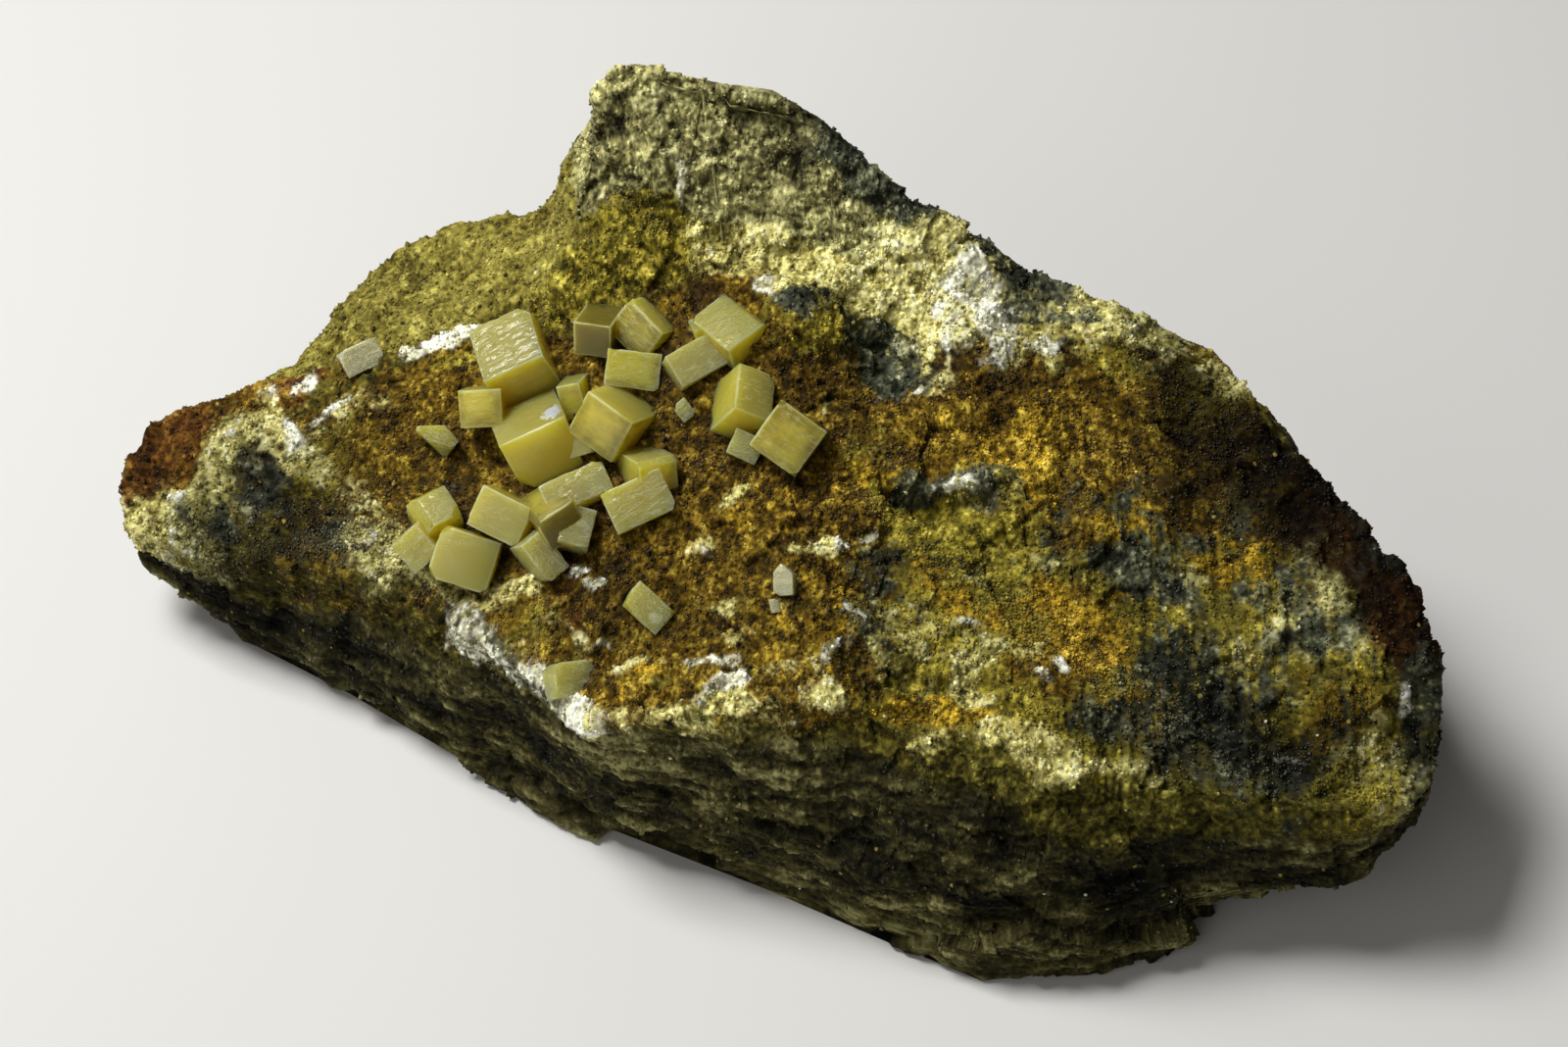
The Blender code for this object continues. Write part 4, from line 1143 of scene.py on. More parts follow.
patterns = {
    "cloudNoise": (4.0, 0.7),          # detail and roughness
    "cloudRange": (0.3, 0.7),          # noise that is darkest, noise that is lightest
    "spotRange": (0.42, 0.22),         # from a cell's middle to a spot's edge, and to where it is full
    "gritNoise": (6.0, 0.75),
    "pitScale": 0.6,                   # a pit's cells to the grit's
}


def makeMottle():
    # a colour made lighter and darker by coarse and fine noise
    group, ins, outs = newGroup("mottle", [
        ("Place", "vector", (0, 0, 0)), ("Colour", "colour", (0.5, 0.5, 0.5)),
        ("Scale", "value", 3000.0), ("Darkest", "value", 0.5), ("Lightest", "value", 1.5),
    ], [("Colour", "colour"), ("Share", "value")])
    clouds = addNoise(group, ins.outputs["Place"], ins.outputs["Scale"], *patterns["cloudNoise"])
    share = addRange(group, clouds, *patterns["cloudRange"])
    value = addRange(group, share, 0.0, 1.0, ins.outputs["Darkest"], ins.outputs["Lightest"], False)
    group.links.new(addLighter(group, ins.outputs["Colour"], value), outs.inputs["Colour"])
    group.links.new(share, outs.inputs["Share"])
    return group


def makeSpeckle():
    # a spot round the middle of each cell whose own number is under Amount
    group, ins, outs = newGroup("speckle", [
        ("Place", "vector", (0, 0, 0)), ("Scale", "value", 1500.0), ("Amount", "value", 0.3),
    ], [("Mask", "value")])
    cells = addCells(group, ins.outputs["Place"], ins.outputs["Scale"])
    near = addRange(group, cells["Distance"], *patterns["spotRange"])
    chosen = addMath(group, "LESS_THAN", cells["Color"], ins.outputs["Amount"])
    group.links.new(addMath(group, "MULTIPLY", near, chosen), outs.inputs["Mask"])
    return group


def makeGrainBump():
    # height = fine grit - Pits * distance from a cell's middle, so it is lowest where cells meet
    group, ins, outs = newGroup("grainBump", [
        ("Place", "vector", (0, 0, 0)), ("Scale", "value", 2600.0), ("Pits", "value", 0.4),
    ], [("Height", "value")])
    grit = addNoise(group, ins.outputs["Place"], ins.outputs["Scale"], *patterns["gritNoise"])
    pitScale = addMath(group, "MULTIPLY", ins.outputs["Scale"], patterns["pitScale"])
    cells = addCells(group, ins.outputs["Place"], pitScale)
    pit = addMath(group, "MULTIPLY", cells["Distance"], ins.outputs["Pits"])
    group.links.new(addMath(group, "SUBTRACT", grit, pit), outs.inputs["Height"])
    return group


def newMaterial(name):
    material = bpy.data.materials.new(name)
    material.use_nodes = True
    tree = material.node_tree
    place = tree.nodes.new("ShaderNodeTexCoord").outputs["Object"]
    return material, tree, tree.nodes["Principled BSDF"], place


def addBump(tree, shader, height, depth):
    # depth in mm is what a height of 1 stands for
    bump = tree.nodes.new("ShaderNodeBump")
    bump.inputs["Strength"].default_value = 1.0
    bump.inputs["Distance"].default_value = depth * mm
    connect(tree, height, bump.inputs["Height"])
    tree.links.new(bump.outputs["Normal"], shader.inputs["Normal"])


def setShader(shader, settings):
    for name, value in settings.items():
        shader.inputs[name].default_value = value


stoneLook = {
    "mottle": {"Scale": 2800.0, "Darkest": 0.55, "Lightest": 1.5},
    "tint": (0.5, 1.5),                # lightness of the darkest and of the lightest grain
    "polish": 0.35,                    # how much smoother the slate finish is
    "grainBump": {"Scale": 4200.0, "Pits": 0.5},
    "flecks": [
        # colour, cells per metre, share of them that have one, strength
        ((0.62, 0.46, 0.10), 2300.0, 0.10, 0.5),
        ((0.010, 0.008, 0.005), 2700.0, 0.14, 0.6),
        ((0.85, 0.82, 0.62), 3100.0, 0.04, 0.8),
    ],
}
stones = {
    "stainedStone": {"roughness": (0.90, 0.70), "specular": 0.06, "bump": 0.05},       # bump in mm
    "stainedGrains": {"roughness": (0.70, 0.30), "specular": 0.35, "bump": 0.02},
}


def makeStone(name, groups):
    # the stain of each point, mottled finely, with loose flecks of ochre, black and white
    values = stones[name]
    material, tree, shader, place = newMaterial(name)
    stain = addAttribute(tree, "stain", "Color")
    mottled = addGroup(tree, groups["mottle"], {"Place": place, "Colour": stain, **stoneLook["mottle"]})
    colour = mottled["Colour"]
    for spot, scale, amount, strength in stoneLook["flecks"]:
        mask = addGroup(tree, groups["speckle"], {"Place": place, "Scale": scale, "Amount": amount})["Mask"]
        colour = addMix(tree, addMath(tree, "MULTIPLY", mask, strength), colour, spot)
    lightness = addRange(tree, addAttribute(tree, "tint"), 0.0, 1.0, *stoneLook["tint"], False)
    tree.links.new(addLighter(tree, colour, lightness), shader.inputs["Base Color"])
    dull = addRange(tree, mottled["Share"], 0.0, 1.0, *values["roughness"])
    polished = addMath(tree, "MULTIPLY", addAttribute(tree, "gloss"), stoneLook["polish"])
    tree.links.new(addMath(tree, "SUBTRACT", dull, polished), shader.inputs["Roughness"])
    setShader(shader, {"Specular IOR Level": values["specular"]})
    height = addGroup(tree, groups["grainBump"], {"Place": place, **stoneLook["grainBump"]})["Height"]
    addBump(tree, shader, height, values["bump"])
    return material


honey = {
    "pale": (0.47, 0.42, 0.095),           # the dull olive of the tops
    "deep": (0.68, 0.57, 0.070),           # the amber of the sides, brighter than the tops as a painted glow of light passing through
    "clear": (0.195, 0.165, 0.022),        # where the dark inside shows
    "silver": (0.52, 0.49, 0.24),          # where it is etched
    # painted highlight: the pale colour laid along edges and on the ripples' high lines
    "edge": (0.86, 0.82, 0.40),
    "broken": (0.95, 0.92, 0.76),          # a white spot, partly a broken patch and partly a painted glint
    "speck": (0.12, 0.08, 0.02),
    # noise in a crystal's own axes: cells per mm, detail, roughness, distortion, and its stretch before it
    "clouds": (0.55, 4.0, 0.6, 0.5),
    "veilStretch": (0.5, 2.0, 2.0),
    "veils": (1.6, 3.0, 0.6),
    "grit": (7.0, 3.0, 0.7),
    "rippleStretch": (0.8, 2.1, 2.1),
    "ripples": (1.15, 4.0, 0.62, 1.6),
    "worn": (1.8, 4.0, 0.6),
    "facetScale": 9.0,                     # tiny facets on etched faces, cells per mm
    # how the noise moves the tone: (clouds + veilShare * veils - middle) * driftGain
    "veilShare": 0.5,
    "middle": 0.75,
    "driftGain": 0.8,
    # pairs: where something starts and where it is full, of the tone, the satin, a noise or the rim
    "clearTone": (0.1, -0.6),
    "etched": (0.45, 1.0),
    "frostGrit": (0.40, 0.62),
    "glintRipples": (0.52, 0.66),
    "glintSatin": (0.15, 0.6),
    "brokenRim": (1.2, 1.8),
    # how much of a colour shows at most
    "frost": 0.8,
    "specks": 0.6,
    # the painted glints on the ripples
    "glintCrests": 0.6,
    # the painted edge highlight
    "rim": 0.8,
    "speckle": {"Scale": 2600.0, "Amount": 0.03},
    # pairs: glossy and etched
    "roughness": (0.05, 0.30),
    "coat": (0.35, 0.30),
    "wornRoughness": 0.16,
    # satin and satin, height and height
    "rippleHeight": (0.0, 0.8, 0.25, 1.6),
    "facetHeight": (0.3, 1.0, 0.04, 0.7),
    "gritHeight": 0.25,
    "bump": 0.14,                          # mm
    "shader": {
        "Subsurface Weight": 1.0,
        "Subsurface Radius": (6.0, 4.8, 1.0),      # mm that light travels inside, for red, green and blue
        "Subsurface Scale": mm,
        "Transmission Weight": 0.30,
        "IOR": 1.6,
        "Specular IOR Level": 0.3,
        "Coat Roughness": 0.05,
        "Coat IOR": 1.5,
    },
}
paleHoney = {
    **honey,
    "pale": (0.54, 0.52, 0.32),
    # in the pale crystals the deep sides are darker than the tops: painted shade by facing
    "deep": (0.40, 0.38, 0.20),
    "shader": {**honey["shader"], "Subsurface Radius": (1.0, 0.95, 0.7), "Transmission Weight": 0.2},
}


def makeHoney(name, groups, values):
    # waxy crystal: pale, deep and clear honey in clouds, milky under a glossy skin, silver where etched, with
    # painted highlights along its edges and on its ripples
    material, tree, shader, place = newMaterial(name)
    own = addAttribute(tree, "own", "Vector")           # place in a crystal's own axes, in mm
    satin = addAttribute(tree, "satin")
    cloud = addNoise(tree, own, *values["clouds"])
    veils = addNoise(tree, addStretch(tree, own, values["veilStretch"]), *values["veils"])
    drift = addMath(tree, "ADD", cloud, addMath(tree, "MULTIPLY", veils, values["veilShare"]))
    drift = addMath(tree, "SUBTRACT", drift, values["middle"])
    drift = addMath(tree, "MULTIPLY", drift, values["driftGain"])
    tone = addMath(tree, "ADD", addAttribute(tree, "tone"), drift)
    colour = addMix(tree, addRange(tree, tone, 0.0, 1.0), values["deep"], values["pale"])
    colour = addMix(tree, addRange(tree, tone, *values["clearTone"]), colour, values["clear"])
    etched = addRange(tree, satin, *values["etched"])
    grit = addNoise(tree, own, *values["grit"])
    frost = addMath(tree, "MULTIPLY", etched, addRange(tree, grit, *values["frostGrit"]))
    colour = addMix(tree, addMath(tree, "MULTIPLY", frost, values["frost"]), colour, values["silver"])
    specks = addGroup(tree, groups["speckle"], {"Place": place, **values["speckle"]})["Mask"]
    colour = addMix(tree, addMath(tree, "MULTIPLY", specks, values["specks"]), colour, values["speck"])
    # ripples run along a crystal's own x, with painted highlights on their high lines where a face is rough
    ripples = addNoise(tree, addStretch(tree, own, values["rippleStretch"]), *values["ripples"])
    glintCrests = addRange(tree, ripples, *values["glintRipples"])
    glintCrests = addMath(tree, "MULTIPLY", glintCrests, addRange(tree, satin, *values["glintSatin"]))
    colour = addMix(tree, addMath(tree, "MULTIPLY", glintCrests, values["glintCrests"]), colour, values["edge"])
    # painted highlight: the rim attribute lays the pale edge colour along a crystal's edges
    rim = addAttribute(tree, "rim")
    colour = addMix(tree, addRange(tree, rim, 0.0, 1.0, 0.0, values["rim"]), colour, values["edge"])
    colour = addMix(tree, addRange(tree, rim, *values["brokenRim"]), colour, values["broken"])
    tree.links.new(colour, shader.inputs["Base Color"])
    worn = addMath(tree, "MULTIPLY", addNoise(tree, own, *values["worn"]), values["wornRoughness"])
    roughness = addRange(tree, satin, 0.0, 1.0, *values["roughness"])
    tree.links.new(addMath(tree, "ADD", roughness, worn), shader.inputs["Roughness"])
    tree.links.new(addRange(tree, satin, 0.0, 1.0, *values["coat"]), shader.inputs["Coat Weight"])
    setShader(shader, values["shader"])
    facets = addCells(tree, own, values["facetScale"])["Distance"]
    rippled = addMath(tree, "MULTIPLY", ripples, addRange(tree, satin, *values["rippleHeight"]))
    faceted = addMath(tree, "MULTIPLY", facets, addRange(tree, satin, *values["facetHeight"]))
    height = addMath(tree, "ADD", rippled, faceted)
    height = addMath(tree, "ADD", height, addMath(tree, "MULTIPLY", grit, values["gritHeight"]))
    addBump(tree, shader, height, values["bump"])
    return material


def grown(place, rise, size, turn, tone, satin, ripple, cuts=(), bow=(0, 0, 0), taper=(0, 0), fleck=None):
    # place: x, y in mm; rise: of the middle over the rock; size: its sides; turn: degrees about x, y and z;
    # tone: 0 deep .. 1 pale, clear under 0; satin: 0 glossy .. 1 etched; ripple: height in mm on the top,
    # right and front faces; cuts: a direction, and the share of the block's reach that way which is left;
    # bow: how far the top, right and front faces swell; taper: how much narrower the foot is; fleck: place on
    # the top, radius and whiteness of a white spot with broken relief, partly a painted glint
    return {"place": place, "rise": rise, "size": size, "turn": turn, "tone": tone, "satin": satin,
            "ripple": ripple, "cuts": cuts, "bow": bow, "taper": taper, "fleck": fleck}


crystals = {
    "mainCrystalCluster": [
        grown((-17.2, 8.8), 1.2, (4.2, 4.6, 3.6), (0, -20, 15), 0.72, 0.12, (0.065, 0.012, 0.006),
              [((1, 1, 0.3), 0.86)], (0.1, 0.1, 0.12)),
        grown((-19.2, 6.3), 1.1, (2.8, 4.6, 2.4), (-45, -5, 0), 0.30, 0.3, (0.012, 0.01, 0.01),
              [((-1, -1, 0), 0.88)], (0.1, 0, 0.1)),
        grown((-15.7, 3.5), 0.8, (4.6, 4.7, 3.7), (-25, -15, 20), 0.60, 0.12, (0.022, 0.02, 0.010),
              [((-1, 0, -1), 0.82), ((-1, -1, -0.6), 0.86)], (0.12, 0.1, 0.42), (0.1, 0.0),
              (1.60, -1.10, 0.70, 2.2)),
        grown((-10.7, 3.4), 0.95, (3.6, 4.3, 3.1), (-34, 10, -37), 0.22, 0.10, (0.014, 0.012, 0.010),
              [((1, 1, -0.6), 0.88), ((-1, 1, 0.4), 0.90)], (0.14, 0.1, 0.1)),
        grown((-13.2, 6.1), 0.2, (1.6, 2.5, 2.4), (-30, -20, -5), 0.25, 0.3, (0.02, 0.01, 0.01)),
        grown((-13.0, 3.0), 0.5, (2.2, 2.8, 1.8), (-45, -25, 0), 0.80, 0.1, (0.085, 0.03, 0.04),
              [((1, 0, 1), 0.8)]),
        grown((-13.0, -0.4), 0.8, (4.3, 2.1, 3.0), (25, -15, 20), 0.60, 0.75, (0.045, 0.02, 0.03),
              [((1, 1, 0.5), 0.85)]),
        grown((-8.6, 0.1), 0.6, (2.6, 3.4, 2.1), (-30, 10, 25), 0.45, 0.3, (0.035, 0.02, 0.02),
              [((1, 1, 1), 0.82), ((0, -1, 1), 0.86)]),
        grown((-9.1, -1.9), 0.7, (4.1, 2.8, 2.6), (35, -15, 20), 0.55, 0.15, (0.060, 0.03, 0.03),
              [((-1, 1, 1), 0.86), ((1, -1, 0), 0.9)]),
        grown((-14.6, -1.7), 1.2, (2.8, 3.9, 2.3), (-25, -15, 30), -0.60, 0.2, (0.014, 0.01, 0.01),
              [((-1, 0, 1), 0.86)], (0.1, 0.06, 0.16)),
        grown((-13.1, -2.7), 0.7, (2.0, 2.5, 2.4), (25, 10, -10), 0.60, 0.95, (0.055, 0.04, 0.04),
              [((-1, 1, 1), 0.84)]),
        grown((-17.7, -0.9), 0.9, (3.6, 2.7, 3.4), (40, 10, -25), 0.35, 0.25, (0.018, 0.01, 0.02),
              [((1, -1, 1), 0.92)], (0.08, 0.05, 0.1)),
        grown((-15.4, -4.0), 0.9, (3.0, 1.8, 2.3), (10, 40, -40), 0.40, 0.9, (0.035, 0.03, 0.03),
              [((1, -1, 0), 0.86)]),
    ],
    "upperCrystalCluster": [
        grown((-11.8, 9.3), 1.2, (2.5, 3.0, 2.3), (-20, -5, -15), -1.20, 0.15, (0.02, 0.01, 0.01)),
        grown((-9.0, 9.0), 0.7, (3.2, 2.0, 2.6), (-35, 15, -45), 0.15, 0.35, (0.022, 0.02, 0.02),
              [((1, 1, 1), 0.86), ((-1, -1, 1), 0.86), ((-1, 1, 1), 0.9)], (0.1, 0.05, 0.05)),
        grown((-9.6, 6.8), 0.3, (3.5, 2.4, 2.5), (40, 5, -5), -0.45, 0.35, (0.012, 0.01, 0.01),
              [((1, -1, 0), 0.92)]),
    ],
    "upperRightCrystalPair": [
        grown((-3.3, 7.6), 0.5, (3.2, 3.9, 2.1), (-5, -10, 40), 0.40, 0.25, (0.024, 0.015, 0.015),
              [((1, 0, 1), 0.84), ((1, 1, 0.4), 0.9), ((-1, 1, 1), 0.9)], (0.08, 0.05, 0.05)),
        grown((-5.6, 6.1), 0.6, (3.5, 2.3, 2.5), (30, -10, 30), 0.60, 1.0, (0.030, 0.02, 0.02)),
        grown((-5.2, 7.9), 0.5, (1.1, 1.3, 1.9), (-10, -10, 20), 0.75, 0.3, (0.02, 0.02, 0.02)),
    ],
    "rightCrystalCluster": [
        grown((-2.6, 2.7), 0.7, (2.6, 3.4, 3.3), (10, 30, 0), 0.50, 0.2, (0.060, 0.025, 0.025),
              [((1, 1, 1), 0.9)], (0.1, 0.1, 0.05)),
        grown((0.3, -0.1), 0.7, (3.5, 3.5, 2.8), (35, 20, -30), -0.62, 0.30, (0.018, 0.02, 0.015),
              [((-1, 1, 1), 0.88), ((1, -1, 1), 0.92)], (0.08, 0.05, 0.05)),
        grown((-2.4, 0.2), 0.3, (2.0, 1.7, 1.6), (35, 15, -20), 0.40, 0.8, (0.02, 0.02, 0.02)),
    ],
    "edgeCrystalCluster": [
        grown((-22.3, 0.3), 0.8, (2.7, 2.7, 2.5), (5, -5, 30), 0.50, 0.2, (0.03, 0.02, 0.02),
              [((-1, 0, 1), 0.72), ((1, -1, 1), 0.8), ((0, 1, 1), 0.86)]),
        grown((-20.2, -2.8), 0.7, (3.9, 3.4, 2.8), (40, 10, -15), 0.75, 0.1, (0.015, 0.02, 0.03),
              [((1, -1, 0), 0.9), ((-1, 1, 0.3), 0.84), ((-1, -1, 0.3), 0.84)], (0.25, 0.1, 0.05)),
        grown((-23.2, -1.1), 0.7, (2.2, 3.4, 2.4), (-50, -35, 25), 0.85, 0.6, (0.050, 0.04, 0.04),
              [((0, 1, 1), 0.84)]),
    ],
    "leftSingleCrystal": [
        grown((-22.0, 5.4), 0.5, (3.4, 2.3, 1.5), (40, 10, -10), 0.9, 0.3, (0.060, 0.02, 0.02),
              [((-0.3, 1, 0), 0.50), ((0.6, 0.8, 0), 0.36), ((0.9, -0.4, 0), 0.50),
               ((-0.5, -0.9, 0.1), 0.44), ((0, -1, 1), 0.62)]),
    ],
    "lowerSingleCrystal": [
        grown((-8.5, -8.5), 0.6, (3.0, 1.9, 1.7), (30, 25, -35), 0.50, 0.5, (0.03, 0.03, 0.03),
              [((-1, -0.3, 0.1), 0.80), ((-0.3, -1, 0.3), 0.74), ((1, 1, 0.6), 0.86)],
              (0.08, 0, 0), (0, 0), (0.8, -0.2, 0.38, 0.8)),
    ],
    "bottomSingleCrystal": [
        grown((-13.4, -11.3), 0.7, (2.9, 2.2, 1.6), (35, 20, 25), 0.9, 0.5, (0.065, 0.04, 0.04),
              [((-1, 1, 0.2), 0.72), ((1, 1, 0.5), 0.84), ((-1, -1, 1), 0.84)]),
    ],
    "rimSingleCrystal": [
        grown((-27.6, 12.2), 0.5, (2.7, 1.8, 1.7), (35, -10, 25), 0.9, 0.6, (0.080, 0.05, 0.05),
              [((1, 1, 1), 0.76), ((-1, 1, 0.5), 0.78), ((1, -1, 0.3), 0.84)]),
    ],
    "smallSingleCrystal": [
        grown((-6.3, 3.5), 0.2, (1.0, 1.3, 1.0), (35, -25, 30), 0.3, 0.5, (0.02, 0.02, 0.02),
              [((-1, 1, 0), 0.7), ((1, -1, 0.5), 0.8)]),
    ],
    "paleCrystalChip": [
        grown((0.1, -8.5), 0.3, (1.3, 2.0, 1.1), (35, -20, -10), 0.8, 0.5, (0.03, 0.03, 0.03),
              [((1, 1, 0), 0.6), ((-1, 1, 0.3), 0.72), ((-1, -1, 0), 0.8)]),
        grown((-0.6, -9.9), 0.15, (0.6, 0.9, 0.6), (30, 0, 15), 0.3, 0.6, (0.03, 0.03, 0.03),
              [((1, 1, 0), 0.7)]),
    ],
}
crystalNodes = {
    "mainCrystalCluster": "main_crystal_cluster",
    "upperCrystalCluster": "upper_crystal_cluster",
    "upperRightCrystalPair": "upper_right_crystal_pair",
    "rightCrystalCluster": "right_crystal_cluster",
    "edgeCrystalCluster": "edge_crystal_cluster",
    "leftSingleCrystal": "left_single_crystal",
    "lowerSingleCrystal": "lower_single_crystal",
    "bottomSingleCrystal": "bottom_single_crystal",
    "rimSingleCrystal": "rim_single_crystal",
    "smallSingleCrystal": "small_single_crystal",
    "paleCrystalChip": "pale_crystal_chip",
}
paleClusters = ("rimSingleCrystal", "paleCrystalChip")
block = {
    # lengths and heights in mm; a noise is its length and seed, then for layered noise layers and keep
    "edge": 0.07,                          # radius of a crystal's edges
    "edgeLimit": 0.2,                      # and at most this share of its smallest half size
    "edgeTurns": (30.0, 60.0, 90.0),       # degrees round an edge where a grid line lies
    "cell": 0.10,                          # between grid lines on its faces
    "fewestLines": 4,
    "onFace": 0.9,                         # a direction is straight out over this, as on a flat face
    "cutTurn": 3,                          # how far a cut turns the direction, at most
    "seedStep": 20,                        # from one cluster to the next
    "shift": 7.3,                          # moves each block's noise along
    "wavy": (0.8, 500, 3, 0.8),            # ripples: waves and ridges, drawn out along x, and their shares
    "wavyStretch": (0.7, 1.9, 1.6),
    "wavyShare": 1.2,
    "ridged": (0.7, 520),
    "ridgedStretch": (0.7, 2.4, 1.8),
    "ridgedShare": 0.5,
    "ridgeWidth": 3.2,
    "steps": (1.9, 600),                   # growth steps, how many to a wave and how high
    "stepCount": 2.5,
    "stepHeight": 0.025,
    "stepCore": (0.0, 0.25, 0.7, 0.3),     # core where they start and are full, share added, lowest share
    "bulge": (2.7, 700),
    "bulgeHeight": 0.02,
    "nicks": (0.9, 760, 2),                # chips out of its edges, the noise that starts them and how deep
    "nickNoise": (0.2, 0.8),
    "nickCore": (0.35, 0.05),
    "nickDepth": 0.10,
    "glintRimGap": (0.13, 0.05),                # mm from an edge where its painted edge highlight starts and where it is full
    "glintRimNoise": (1.1, 710),
    "glintRimMix": (0.6, 0.4),
    "paintedFacingTone": (0.8, 0.5),                 # painted light by facing: how much paler its own top is and deeper its sides, and where that turns
    "coreTone": (0.2, 0.4),                # and how much paler its middle is
    "veilTone": (0.10, 0.12, 0.25, 0.8),   # a deeper band just inside the edge: strength, start, full, end
    "roughSatin": 4,                       # how much more etched a face is per mm of ripple
    "fleckFace": 0.8,
    "fleckRelief": (0.5, 740, 2),
    "fleckHeight": 0.30,
    "fleckNoise": (0.45, 745, 3, 0.8),
    "fleckGain": 1.1,
    "fleckNear": (0.05, 0.3),
    "fleckEdge": (0.30, 0.60),
    "sharpAngle": 38.0,                    # degrees over which an edge is shaded sharp
}


def axisSteps(half, edge):
    # grid lines along one side: even in the flat part, then one for each turn round the edge
    flat = half - edge
    middle = np.linspace(-flat, flat, max(block["fewestLines"], int(2 * flat / block["cell"])))
    turned = half - edge * (1 - np.sin(np.radians(block["edgeTurns"])))
    return np.concatenate((-turned[::-1], middle, turned))


def boxGrid(steps):
    # points and triangles on the six sides of a box of grid lines, each corner once, triangles facing out
    sizes = [len(axis) for axis in steps]
    squares = []
    for axis in range(3):
        first, second = (axis + 1) % 3, (axis + 2) % 3
        i, j = np.meshgrid(np.arange(sizes[first] - 1), np.arange(sizes[second] - 1), indexing="ij")
        for side in (0, sizes[axis] - 1):
            square = np.zeros((i.size, 4, 3), dtype=np.int64)
            square[:, :, axis] = side
            around = ((0, 0), (1, 0), (1, 1), (0, 1)) if side else ((0, 0), (0, 1), (1, 1), (1, 0))
            for corner, (di, dj) in enumerate(around):
                square[:, corner, first] = i.ravel() + di
                square[:, corner, second] = j.ravel() + dj
            squares.append(square)
    squares = np.concatenate(squares).reshape(-1, 3)
    key = (squares[:, 0] * sizes[1] + squares[:, 1]) * sizes[2] + squares[:, 2]
    unique, number = np.unique(key, return_inverse=True)
    row, column = unique // sizes[2], unique % sizes[2]
    lattices = (row // sizes[1], row % sizes[1], column)
    points = np.stack([lines[place] for lines, place in zip(steps, lattices)], axis=-1)
    corners = number.reshape(-1, 4)
    return points, np.concatenate((corners[:, (0, 1, 2)], corners[:, (0, 2, 3)]))


def roundedBlock(values):
    # a box whose points are inner + edge * direction, direction from the box shrunk by the edge radius; each
    # face swells by bow * (1 - s^2)(1 - t^2), then planes cut its corners off; away is which way a point faces,
    # and core is 1 in the middle of a face, 0 at its edges
    half = np.array(values["size"]) / 2
    edge = min(block["edge"], block["edgeLimit"] * min(half))
    points, triangles = boxGrid([axisSteps(side, edge) for side in half])
    inner = np.clip(points, -(half - edge), half - edge)
    away = points - inner
    away = away / np.maximum(np.linalg.norm(away, axis=1, keepdims=True), tiny)
    points = inner + edge * away
    flat = np.clip(1 - (points / half) ** 2, 0, 1)
    swell = np.stack([flat[:, 1] * flat[:, 2], flat[:, 0] * flat[:, 2], flat[:, 0] * flat[:, 1]], axis=-1)
    onFace = np.abs(away) > block["onFace"]
    topBow, rightBow, frontBow = values["bow"]
    points = points + np.sign(points) * onFace * swell * np.array((rightBow, frontBow, topBow))
    core = np.max(swell * onFace, axis=1)
    for direction, share in values["cuts"]:
        normal = np.array(direction, float) / np.linalg.norm(direction)
        reach = share * np.sum(np.abs(normal) * half)
        over = np.maximum(points @ normal - reach, 0)
        points = points - over[:, None] * normal
        away = away + np.minimum(over / edge, block["cutTurn"])[:, None] * normal
        away = away / np.linalg.norm(away, axis=1, keepdims=True)
    return points, triangles, away, core


def blockNoise(name, points, seed):
    # one of the block's noises, in layers where it says how many
    length, firstSeed, *layers = block[name]
    maker = layeredNoise if layers else smoothNoise
    return maker(points, length, firstSeed + seed, *layers)


def blockRelief(points, facing, core, seed):
    # facing * (waves + ridges) + growth steps + a broad bulge - nicks along the edges
    wavy = blockNoise("wavy", points * block["wavyStretch"], seed)
    ridged = 1 - block["ridgeWidth"] * np.abs(blockNoise("ridged", points * block["ridgedStretch"], seed))
    steps = np.round(block["stepCount"] * blockNoise("steps", points, seed)) / block["stepCount"]
    start, full, gain, least = block["stepCore"]
    calm = smoothStep(start, full, core) * gain + least
    height = facing * (block["wavyShare"] * wavy + block["ridgedShare"] * ridged)
    height = height + block["stepHeight"] * steps * calm
    height = height + block["bulgeHeight"] * blockNoise("bulge", points, seed)
    nicks = smoothStep(*block["nickNoise"], blockNoise("nicks", points, seed))
    return height - block["nickDepth"] * (nicks * smoothStep(*block["nickCore"], core))


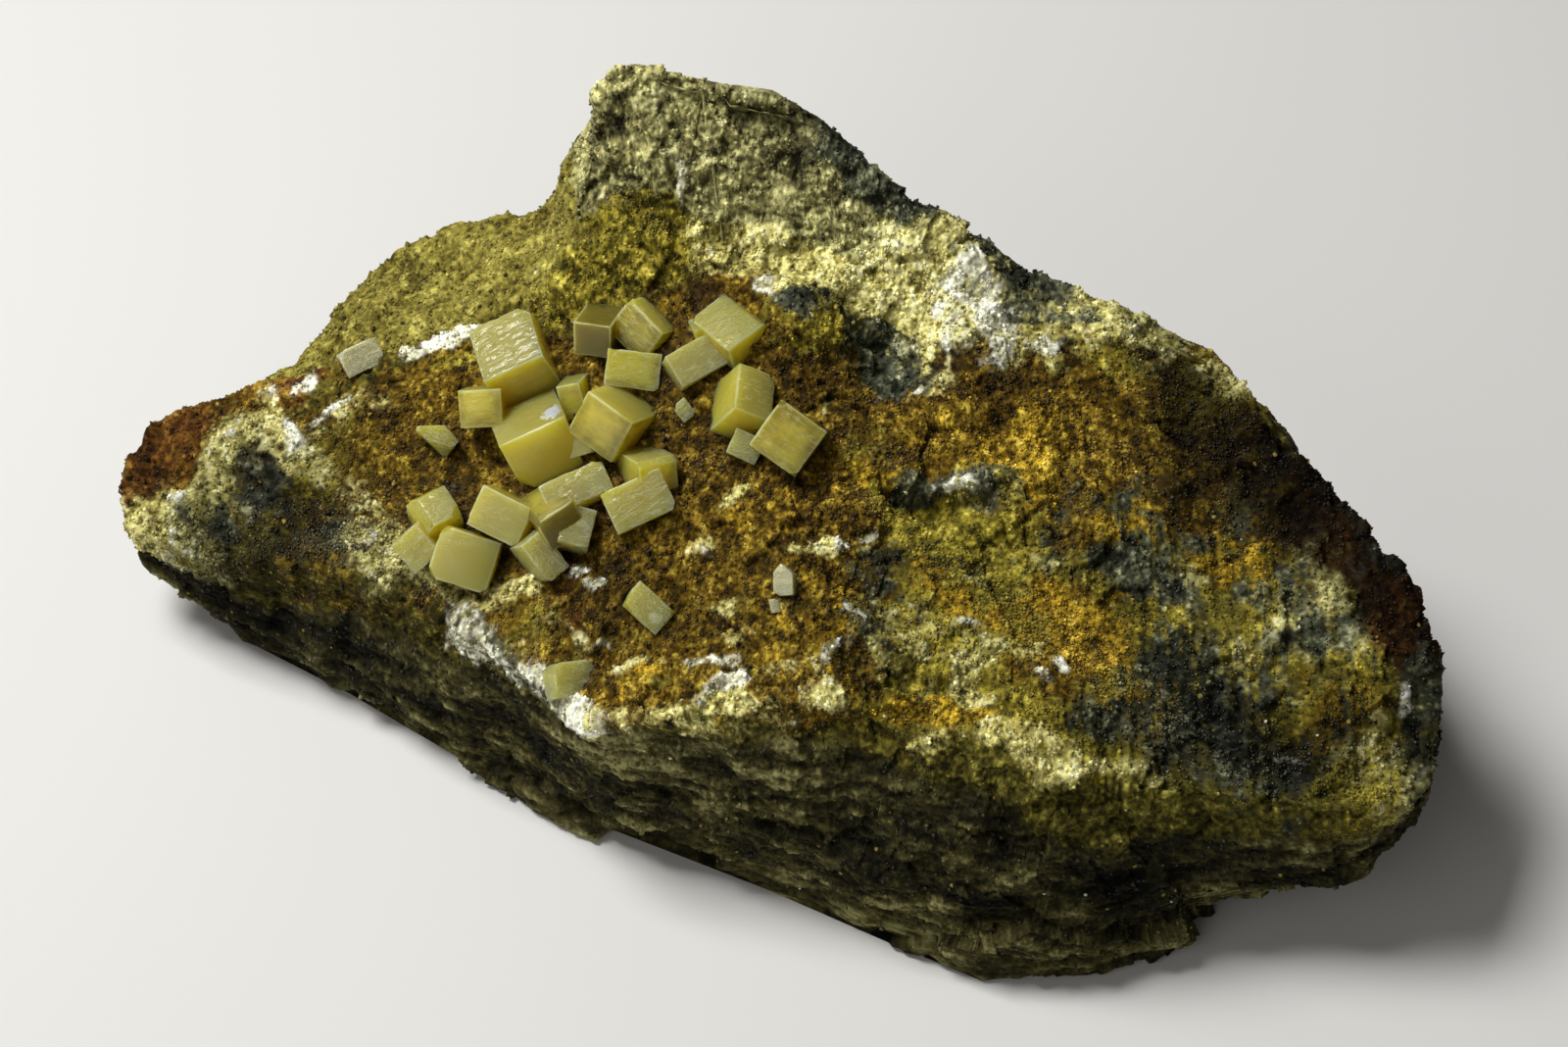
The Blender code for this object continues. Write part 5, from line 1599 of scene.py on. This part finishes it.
def crystalSurface(values, seed):
    # the rounded block with its relief along the way it faces, narrowed, turned and put in its place, and its
    # masks: tone, satin, rim, which paints a highlight along the edges, and the place in its own axes
    points, triangles, away, core = roundedBlock(values)
    half = np.array(values["size"]) / 2
    topRipple, rightRipple, frontRipple = values["ripple"]
    facing = np.sum(away ** 2 * np.array((rightRipple, frontRipple, topRipple)), axis=1)
    shifted = points + block["shift"] * seed
    height = blockRelief(shifted, facing, core, seed)
    gap = np.sort(half - np.abs(points), axis=1)[:, 1]          # mm to the nearest edge
    # painted highlight: rim is full at the edges, a pale line standing for their glints
    glintRimBase, glintRimGain = block["glintRimMix"]
    rim = smoothStep(*block["glintRimGap"], gap) * (glintRimBase + glintRimGain * smoothNoise(shifted, *block["glintRimNoise"]))
    facingLightGain, facingLightTurn = block["paintedFacingTone"]
    coreGain, coreTurn = block["coreTone"]
    veil, veilStart, veilFull, veilEnd = block["veilTone"]
    # painted light by facing: tops lean to the dull pale olive, sides to the deep amber, which glows brighter
    # as painted light
    tone = values["tone"] + facingLightGain * (np.abs(away[:, 2]) - facingLightTurn) + coreGain * (core - coreTurn)
    tone = tone - veil * smoothStep(veilStart, veilFull, gap) * smoothStep(veilEnd, veilFull, gap)
    satin = np.clip(values["satin"] + block["roughSatin"] * facing, 0, 1)
    # the fleck: a white spot with broken relief, partly a painted glint
    if values["fleck"]:
        x, y, radius, whiteness = values["fleck"]
        spot = np.exp(-((points[:, 0] - x) ** 2 + (points[:, 1] - y) ** 2) / radius ** 2)
        spot = spot * (away[:, 2] > block["fleckFace"])
        height = height + block["fleckHeight"] * spot * layeredNoise(shifted, *block["fleckRelief"])
        near = smoothStep(*block["fleckNear"], spot)
        broken = spot + block["fleckGain"] * near * layeredNoise(shifted, *block["fleckNoise"])
        rim = rim + whiteness * smoothStep(*block["fleckEdge"], broken)
    points = points + away * height[:, None]
    narrow = 1 - np.array((*values["taper"], 0.0)) * (0.5 - points[:, 2:] / (2 * half[2]))
    turned = np.array(Euler([math.radians(angle) for angle in values["turn"]]).to_matrix())
    x, y = values["place"]
    middle = np.array((x, y, topHeight(np.array(x), np.array(y)) + values["rise"]))
    masks = {"tone": tone, "satin": satin, "rim": rim, "own": shifted}
    return (points * narrow) @ turned.T + middle, triangles, masks


def makeCluster(name, materials, seed):
    # its blocks joined into one mesh
    blocks = []
    for number, values in enumerate(crystals[name]):
        points, triangles, masks = crystalSurface(values, seed + number)
        mesh = meshFrom(name + str(number), points, triangles, masks)
        holder = bpy.data.objects.new(name + str(number), mesh)
        bpy.context.scene.collection.objects.link(holder)
        blocks.append(holder)
    for other in blocks[1:]:
        joint = blocks[0].modifiers.new("joinTo" + other.name, "BOOLEAN")
        joint.operation = "UNION"
        joint.solver = "MANIFOLD"
        joint.object = other
    bpy.context.view_layer.update()
    joined = bpy.data.meshes.new_from_object(blocks[0].evaluated_get(bpy.context.evaluated_depsgraph_get()))
    joined.name = name
    for holder in blocks:
        bpy.data.objects.remove(holder)
    joined.materials.clear()
    joined.shade_smooth()
    joined.set_sharp_from_angle(angle=math.radians(block["sharpAngle"]))
    slot = "pale_crystal" if name in paleClusters else "honey_crystal"
    piece = pieceFrom(name, joined, materials[slot])
    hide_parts(crystalNodes[name])
    print(name + ":", len(joined.polygons), "faces")


makeCamera()
makeStudio()
groups = {"mottle": makeMottle(), "speckle": makeSpeckle(), "grainBump": makeGrainBump()}
stone = makeStone("stainedStone", groups)
grainStone = makeStone("stainedGrains", groups)
materials = {
    "honey_crystal": makeHoney("honeyCrystal", groups, honey),
    "pale_crystal": makeHoney("paleCrystal", groups, paleHoney),
}
surfaces = [makeStoneBody(stone)] + makeSkin(stone)
for number, name in enumerate(grainSets):
    makeGrains(name, surfaces, grainStone, scatter["seed"] + number)
for number, name in enumerate(crystals):
    makeCluster(name, materials, block["seedStep"] * number)
